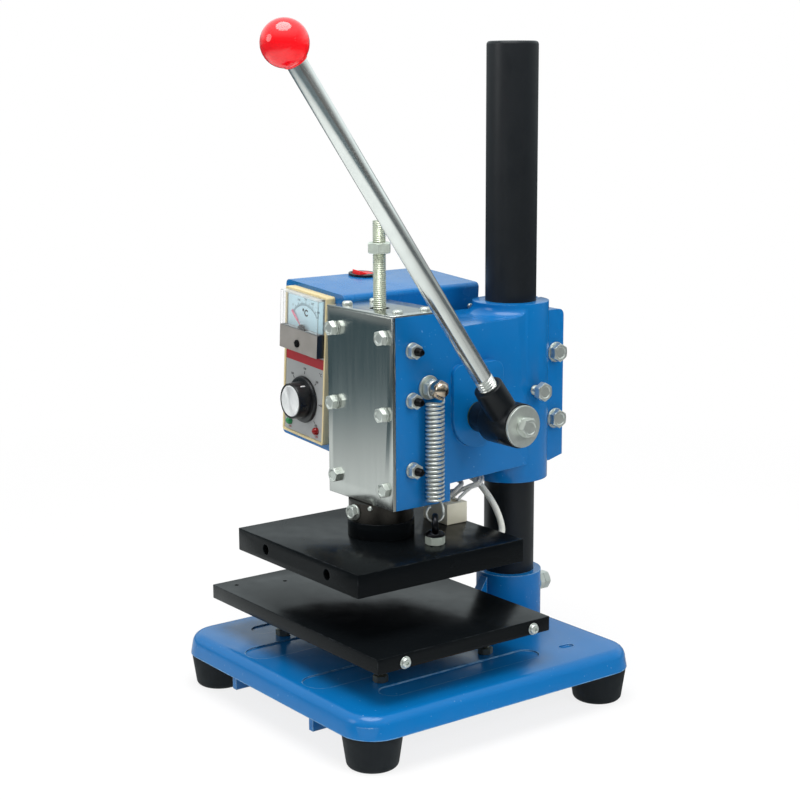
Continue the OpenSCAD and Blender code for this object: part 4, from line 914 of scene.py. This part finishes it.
def dial_marks(s):
    """The meter's scale: ticks on an arc of short dashes, its numbers and the unit."""
    m = panel_place(PANEL_MID, PIVOT_DOWN, FACE_Y - 0.8)
    for i in range(DIAL_TICKS):
        lean = -NEEDLE_SWING + 2 * NEEDLE_SWING * i / (DIAL_TICKS - 1)
        long = i % 5 == 0
        half = 0.12 + 0.06 * long
        mark(s, m @ turn(-lean, "Z"), -half, 20.6, half, 22.2 + 1.4 * long)
    for i in range(DIAL_DASHES):
        lean = -NEEDLE_SWING + 2 * NEEDLE_SWING * (i + 0.5) / DIAL_DASHES
        mark(s, m @ turn(-lean, "Z"), -0.56, 20.4, 0.56, 20.7)
    for i in range(DIAL_NUMBERS):
        a = math.radians(-44 + 22 * i)
        number_place = m @ Matrix.Translation((25.4 * math.sin(a), 25.2 * math.cos(a), 0))
        text_mesh(s, number_place, str(100 * i), 2.6)
    text_mesh(s, m @ Matrix.Translation((-0.5, 14.5, 0)), "°C", 7, mat=1, bold=0.3)


shape = Shape()
dial_marks(shape)
make(shape, "meter_dial_marks", [dial_ink, print_black], "head")


def meter_screws(s):
    """The meter's pivot cover behind its smoky half and the slotted zero screw in front of that."""
    m = panel_place(PANEL_MID, 29.8, FACE_Y - 3.2)
    s.rings(m, [(0, 0), (4, 0), (4, 1.8), (3.6, 2.2), (0, 2.2)])
    m = panel_place(PANEL_MID - 1, 40.8, METER_FRONT_Y, 25)
    s.rings(m, [(0, 0), (3, 0), (3, 0.9), (2.6, 1.3), (0.6, 1.3)], n=40)
    for side in (-1, 1):
        s.block(m, -2.2, side * 1.1 - 0.7, 1.2, 2.2, side * 1.1 + 0.7, 1.5)


shape = Shape()
meter_screws(shape)
make(shape, "meter_screws", matt_black, "head")


# Meter needle: a broad blade on a thin stem
def meter_needle(s):
    m = panel_place(PANEL_MID, PIVOT_DOWN, FACE_Y - 1.3, 90 + NEEDLE_SWING)
    s.rings(m, [(0, 0), (2, 0), (2, 1.4), (1.8, 1.6), (0, 1.6)], n=32, mat=1)
    edge = [(1.5, -0.25), (11, -0.3), (12, -0.9), (22, -1)]
    s.prism(m, edge + [(22.5, 0)] + [(x, -y) for x, y in reversed(edge)], 0.4, 1.0)


fastener("meter_needle", meter_needle, "needle", [needle_pink, matt_black])

# Two small screws in the control box's side
shape = Shape()
for up in (-18.5, -104):
    shape.button(place(0, -6, up, TO_RIGHT, BOX), 2.4, 1.5, 1.4)
make(shape, "box_side_screws", zinc, "head")

# Knob: a small white mark on its side and a turned cap in its recess
KNOB = panel_place(PANEL_MID, KNOB_DOWN, FACE_Y - KNOB_GAP)
shape = Shape()
shape.block(KNOB @ turn(-30, "Z"), -0.6, 13.9, 4, 0.6, 14.7, 8)
make(shape, "knob_white_mark", white_mark_finish, "knob")

shape = Shape()
cap = [(0, 12.05), (12.2, 12.05), (12.2, 12.7), (11.7, 13.2), (11.2, 13.3), (0, 13.3)]
shape.rings(KNOB, cap, n=64)
make(shape, "knob_cap_turned", cap_metal, "knob", ["knob_cap"], origin=KNOB.translation)


# CAD solids with their edges rounded as cast, sheared or moulded edges are
def outer(e, p, q):
    return e.is_convex


def longer(least):
    """Edges longer than so many millimetres."""
    return lambda e, p, q: (p - q).length > least


def box_edges(e, p, q):
    """The long upright and sideways edges of the box's front."""
    return e.is_convex and (p - q).length > 70 and abs((p - q).y) < 1 and (p + q).y < -258.5


def head_edges(e, p, q):
    """Edges of the casting, apart from those under the plates, in the ram's guide and in the slit."""
    mid = (p + q) / 2
    under_plates = mid.y < -141 or mid.z > 299 and mid.y < -94
    guide = -22 < mid.x < 28 and mid.y < -96
    slit = abs(mid.x) < 3 and mid.y > 15
    if under_plates or guide or slit:
        return False
    rim = abs(math.hypot(mid.x, mid.y) - SLEEVE_R) < 0.6
    pad = mid.x > 43.5 and math.hypot(mid.y - SHAFT[1], mid.z - SHAFT[2]) > 15
    return (p - q).length > 7 or rim and e.is_convex or pad


def rounded(node, width, mat, body, chosen=outer, segments=2, angle=35):
    """A copy of a CAD solid with its chosen edges rounded by a width in millimetres."""
    mesh = nodes[node].data.copy()
    mesh.materials.clear()
    for layer in ("custom_normal", "sharp_edge", "sharp_face"):
        if layer in mesh.attributes:
            mesh.attributes.remove(mesh.attributes[layer])
    bm = bmesh.new()
    bm.from_mesh(mesh)
    bmesh.ops.remove_doubles(bm, verts=bm.verts[:], dist=3e-6)
    bmesh.ops.dissolve_limit(bm, angle_limit=math.radians(0.6), verts=bm.verts[:], edges=bm.edges[:])
    picked = [e for e in bm.edges if len(e.link_faces) == 2 and e.calc_face_angle(0.0) > math.radians(angle)
              and chosen(e, *[(v.co - ORIGIN) / MM for v in e.verts])]
    if picked:
        bmesh.ops.bevel(bm, geom=picked, offset=width * MM, offset_type="OFFSET", segments=segments,
                        profile=0.5, affect="EDGES", clamp_overlap=True)
    bm.to_mesh(mesh)
    bm.free()
    finish_mesh(mesh, 40)
    mesh.materials.append(mat)
    obj = bpy.data.objects.new(node + "_rounded", mesh)
    scene.collection.objects.link(obj)
    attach(obj, body)
    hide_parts(node)


rounded("head_casting", 2.2, blue_paint, "head", head_edges, 3)
# The base's edges are round in the part's source already, so none is chosen
rounded("base_casting", 0, base_paint, "base", lambda e, p, q: False)
rounded("control_box", 1.6, box_paint, "head", box_edges, 3)
rounded("table", 0.5, plate_black, "base", longer(10))
rounded("hot_plate", 0.6, hot_black, "ram", longer(10))
rounded("front_plate", 0.4, stainless, "head", longer(5))
rounded("top_cover", 0.4, stainless, "head", longer(10))
rounded("lever_hub", 0.8, hub_black, "lever")
rounded("clamp_ring", 0.5, plate_black, "ram")
rounded("column", 1.2, column_paint, "base")
rounded("rubber_feet", 1.0, rubber, "base")
rounded("knob", 0.5, black_plastic, "knob")
rounded("rocker_bezel", 0.5, black_plastic, "head")
rounded("rocker", 0.5, rocker_red, "rocker")
rounded("controller_frame", 0.6, cream_plastic, "head")
rounded("terminal_block", 0.8, ceramic, "ram",
        lambda e, p, q: e.is_convex and (p - q).length > 5)

# CAD nodes that show in their own shape
WEAR = {
    "foot_screws": zinc,
    "gib_strip": dark_steel, "shaft_bush": brass, "shaft_cap": dark_steel, "cap_screws": zinc,
    "box_screws": zinc, "back_cover": box_paint, "power_inlet": black_plastic,
    "inlet_pins": brass, "cable_grommet": black_plastic,
    "controller_face": face_grey, "controller_case": black_plastic, "meter_dial": dial_card,
    "meter_block": face_grey, "meter_cover": meter_cover, "lamp_green": green_lamp, "lamp_red": red_lamp,
    "pinion_shaft": dark_steel, "ram": dark_steel, "plate_heaters": zinc,
    "terminal_screws": brass,
}
for node, mat in WEAR.items():
    mesh = nodes[node].data
    mesh.materials.clear()
    mesh.materials.append(mat)


# Stage: a white floor and surround, soft lamps, and a studio that mirrors bright from above and dim at eye
# level on the camera's side
TO_CAMERA = (math.sin(CAMERA_AZIMUTH), -math.cos(CAMERA_AZIMUTH), 0)


class Studio(Finish):
    """Nodes of the surround and the floor, which look different to mirror rays."""

    def __init__(self, tree):
        self.tree = tree
        self.path = tree.nodes.new("ShaderNodeLightPath").outputs

    def reach(self, spot):
        """How far a spot of the floor is from the middle."""
        return self.operate("ShaderNodeVectorMath", "LENGTH", spot)["Value"]

    def seen(self):
        """Rays that show the background itself: camera, mirror and see-through rays."""
        straight = self.math("MAXIMUM", self.path["Is Camera Ray"], self.path["Is Transmission Ray"])
        return self.math("MAXIMUM", straight, self.path["Is Glossy Ray"])

    def bright(self, mirrored):
        """White, but for mirror rays as bright as the studio is that way."""
        glossy = self.path["Is Glossy Ray"]
        return self.math("ADD", self.math("SUBTRACT", 1.0, glossy), self.times(glossy, mirrored))

    def show(self, under, over, share, output):
        """Mixes two shaders by a share and gives them to the tree's output."""
        both = self.add("ShaderNodeMixShader", Fac=share)
        self.tree.links.new(under.outputs[0], both.inputs[1])
        self.tree.links.new(over.outputs[0], both.inputs[2])
        self.tree.links.new(both.outputs[0], self.tree.nodes[output].inputs["Surface"])


WHITE = (1, 1, 1, 1)
SURROUND_TINT, NEAR_TINT, FAR_TINT = (0.88, 0.98, 1.0, 1), (0.94, 1, 1, 1), (0.5, 0.85, 1.0, 1)
world = bpy.data.worlds.new("surround")
scene.world = world
world.use_nodes = True
studio = Studio(world.node_tree)
way = studio.add("ShaderNodeTexCoord").outputs["Generated"]
height = studio.add("ShaderNodeSeparateXYZ", Vector=way).outputs["Z"]
facing = studio.dot(way, TO_CAMERA)
wall = studio.times(studio.span(facing, -0.4, 0.5, 1.0, 0.12), studio.span(height, 0.1, 0.24, 0.34, 0.95))
mirrored = studio.math("MAXIMUM", wall, studio.span(height, 0.3, 0.75))
plain = studio.tree.nodes["Background"]
plain.inputs["Color"].default_value = WHITE
plain.inputs["Strength"].default_value = 0.5
tint = studio.mix(studio.path["Is Glossy Ray"], WHITE, SURROUND_TINT)
bright = studio.add("ShaderNodeBackground", Color=tint, Strength=studio.bright(mirrored))
studio.show(plain, bright, studio.seen(), "World Output")

FLOOR_HALF = 12
floor_mat = bpy.data.materials.new("floor")
floor_mat.use_nodes = True
studio = Studio(floor_mat.node_tree)
studio.tree.nodes.remove(studio.tree.nodes["Principled BSDF"])
spot = studio.add("ShaderNodeTexCoord").outputs["Object"]
reach = studio.reach(spot)
front = studio.span(studio.add("ShaderNodeSeparateXYZ", Vector=spot).outputs["Y"], 0.25, -0.25, 0.4, 1.0)
mirrored = studio.times(front, studio.span(reach, 0.7, 1.25, 1.0, 0.12))
tint = studio.mix(studio.span(reach, 0.95, 1.25), NEAR_TINT, FAR_TINT)
tint = studio.mix(studio.path["Is Glossy Ray"], WHITE, tint)
open_floor = studio.math("MAXIMUM", studio.path["Is Glossy Ray"], studio.span(reach, 0.4, 1.1, 0.82, 1.0))
matt = studio.add("ShaderNodeBsdfDiffuse", Color=(0.9, 0.9, 0.9, 1))
glow = studio.add("ShaderNodeEmission", Color=tint, Strength=studio.bright(mirrored))
studio.show(matt, glow, studio.times(studio.seen(), open_floor), "Material Output")
floor_mesh = bpy.data.meshes.new("floor")
corners = [(x * FLOOR_HALF, y * FLOOR_HALF, 0) for x, y in ((-1, -1), (1, -1), (1, 1), (-1, 1))]
floor_mesh.from_pydata(corners, [], [(0, 1, 2, 3)])
floor_mesh.materials.append(floor_mat)
floor = bpy.data.objects.new("floor", floor_mesh)
scene.collection.objects.link(floor)


def lamp(name, place_at, aim, size, watts, mirrored=True):
    data = bpy.data.lights.new(name, "AREA")
    data.shape = "DISK"
    data.size = size
    data.energy = watts
    obj = bpy.data.objects.new(name, data)
    scene.collection.objects.link(obj)
    obj.visible_glossy = mirrored
    obj.location = place_at
    obj.rotation_euler = (Vector(aim) - Vector(place_at)).to_track_quat("-Z", "Y").to_euler()


lamp("top_soft", (0.2, -0.3, 1.9), (0, 0, 0.2), 1.4, 29)
lamp("side_soft", (1.9, 0.4, 1.2), (0, 0, 0.25), 1.0, 15, mirrored=False)
lamp("front_soft", (-0.7, -1.9, 1.1), (0, 0, 0.2), 1.0, 7)

scene.view_settings.view_transform = "Standard"
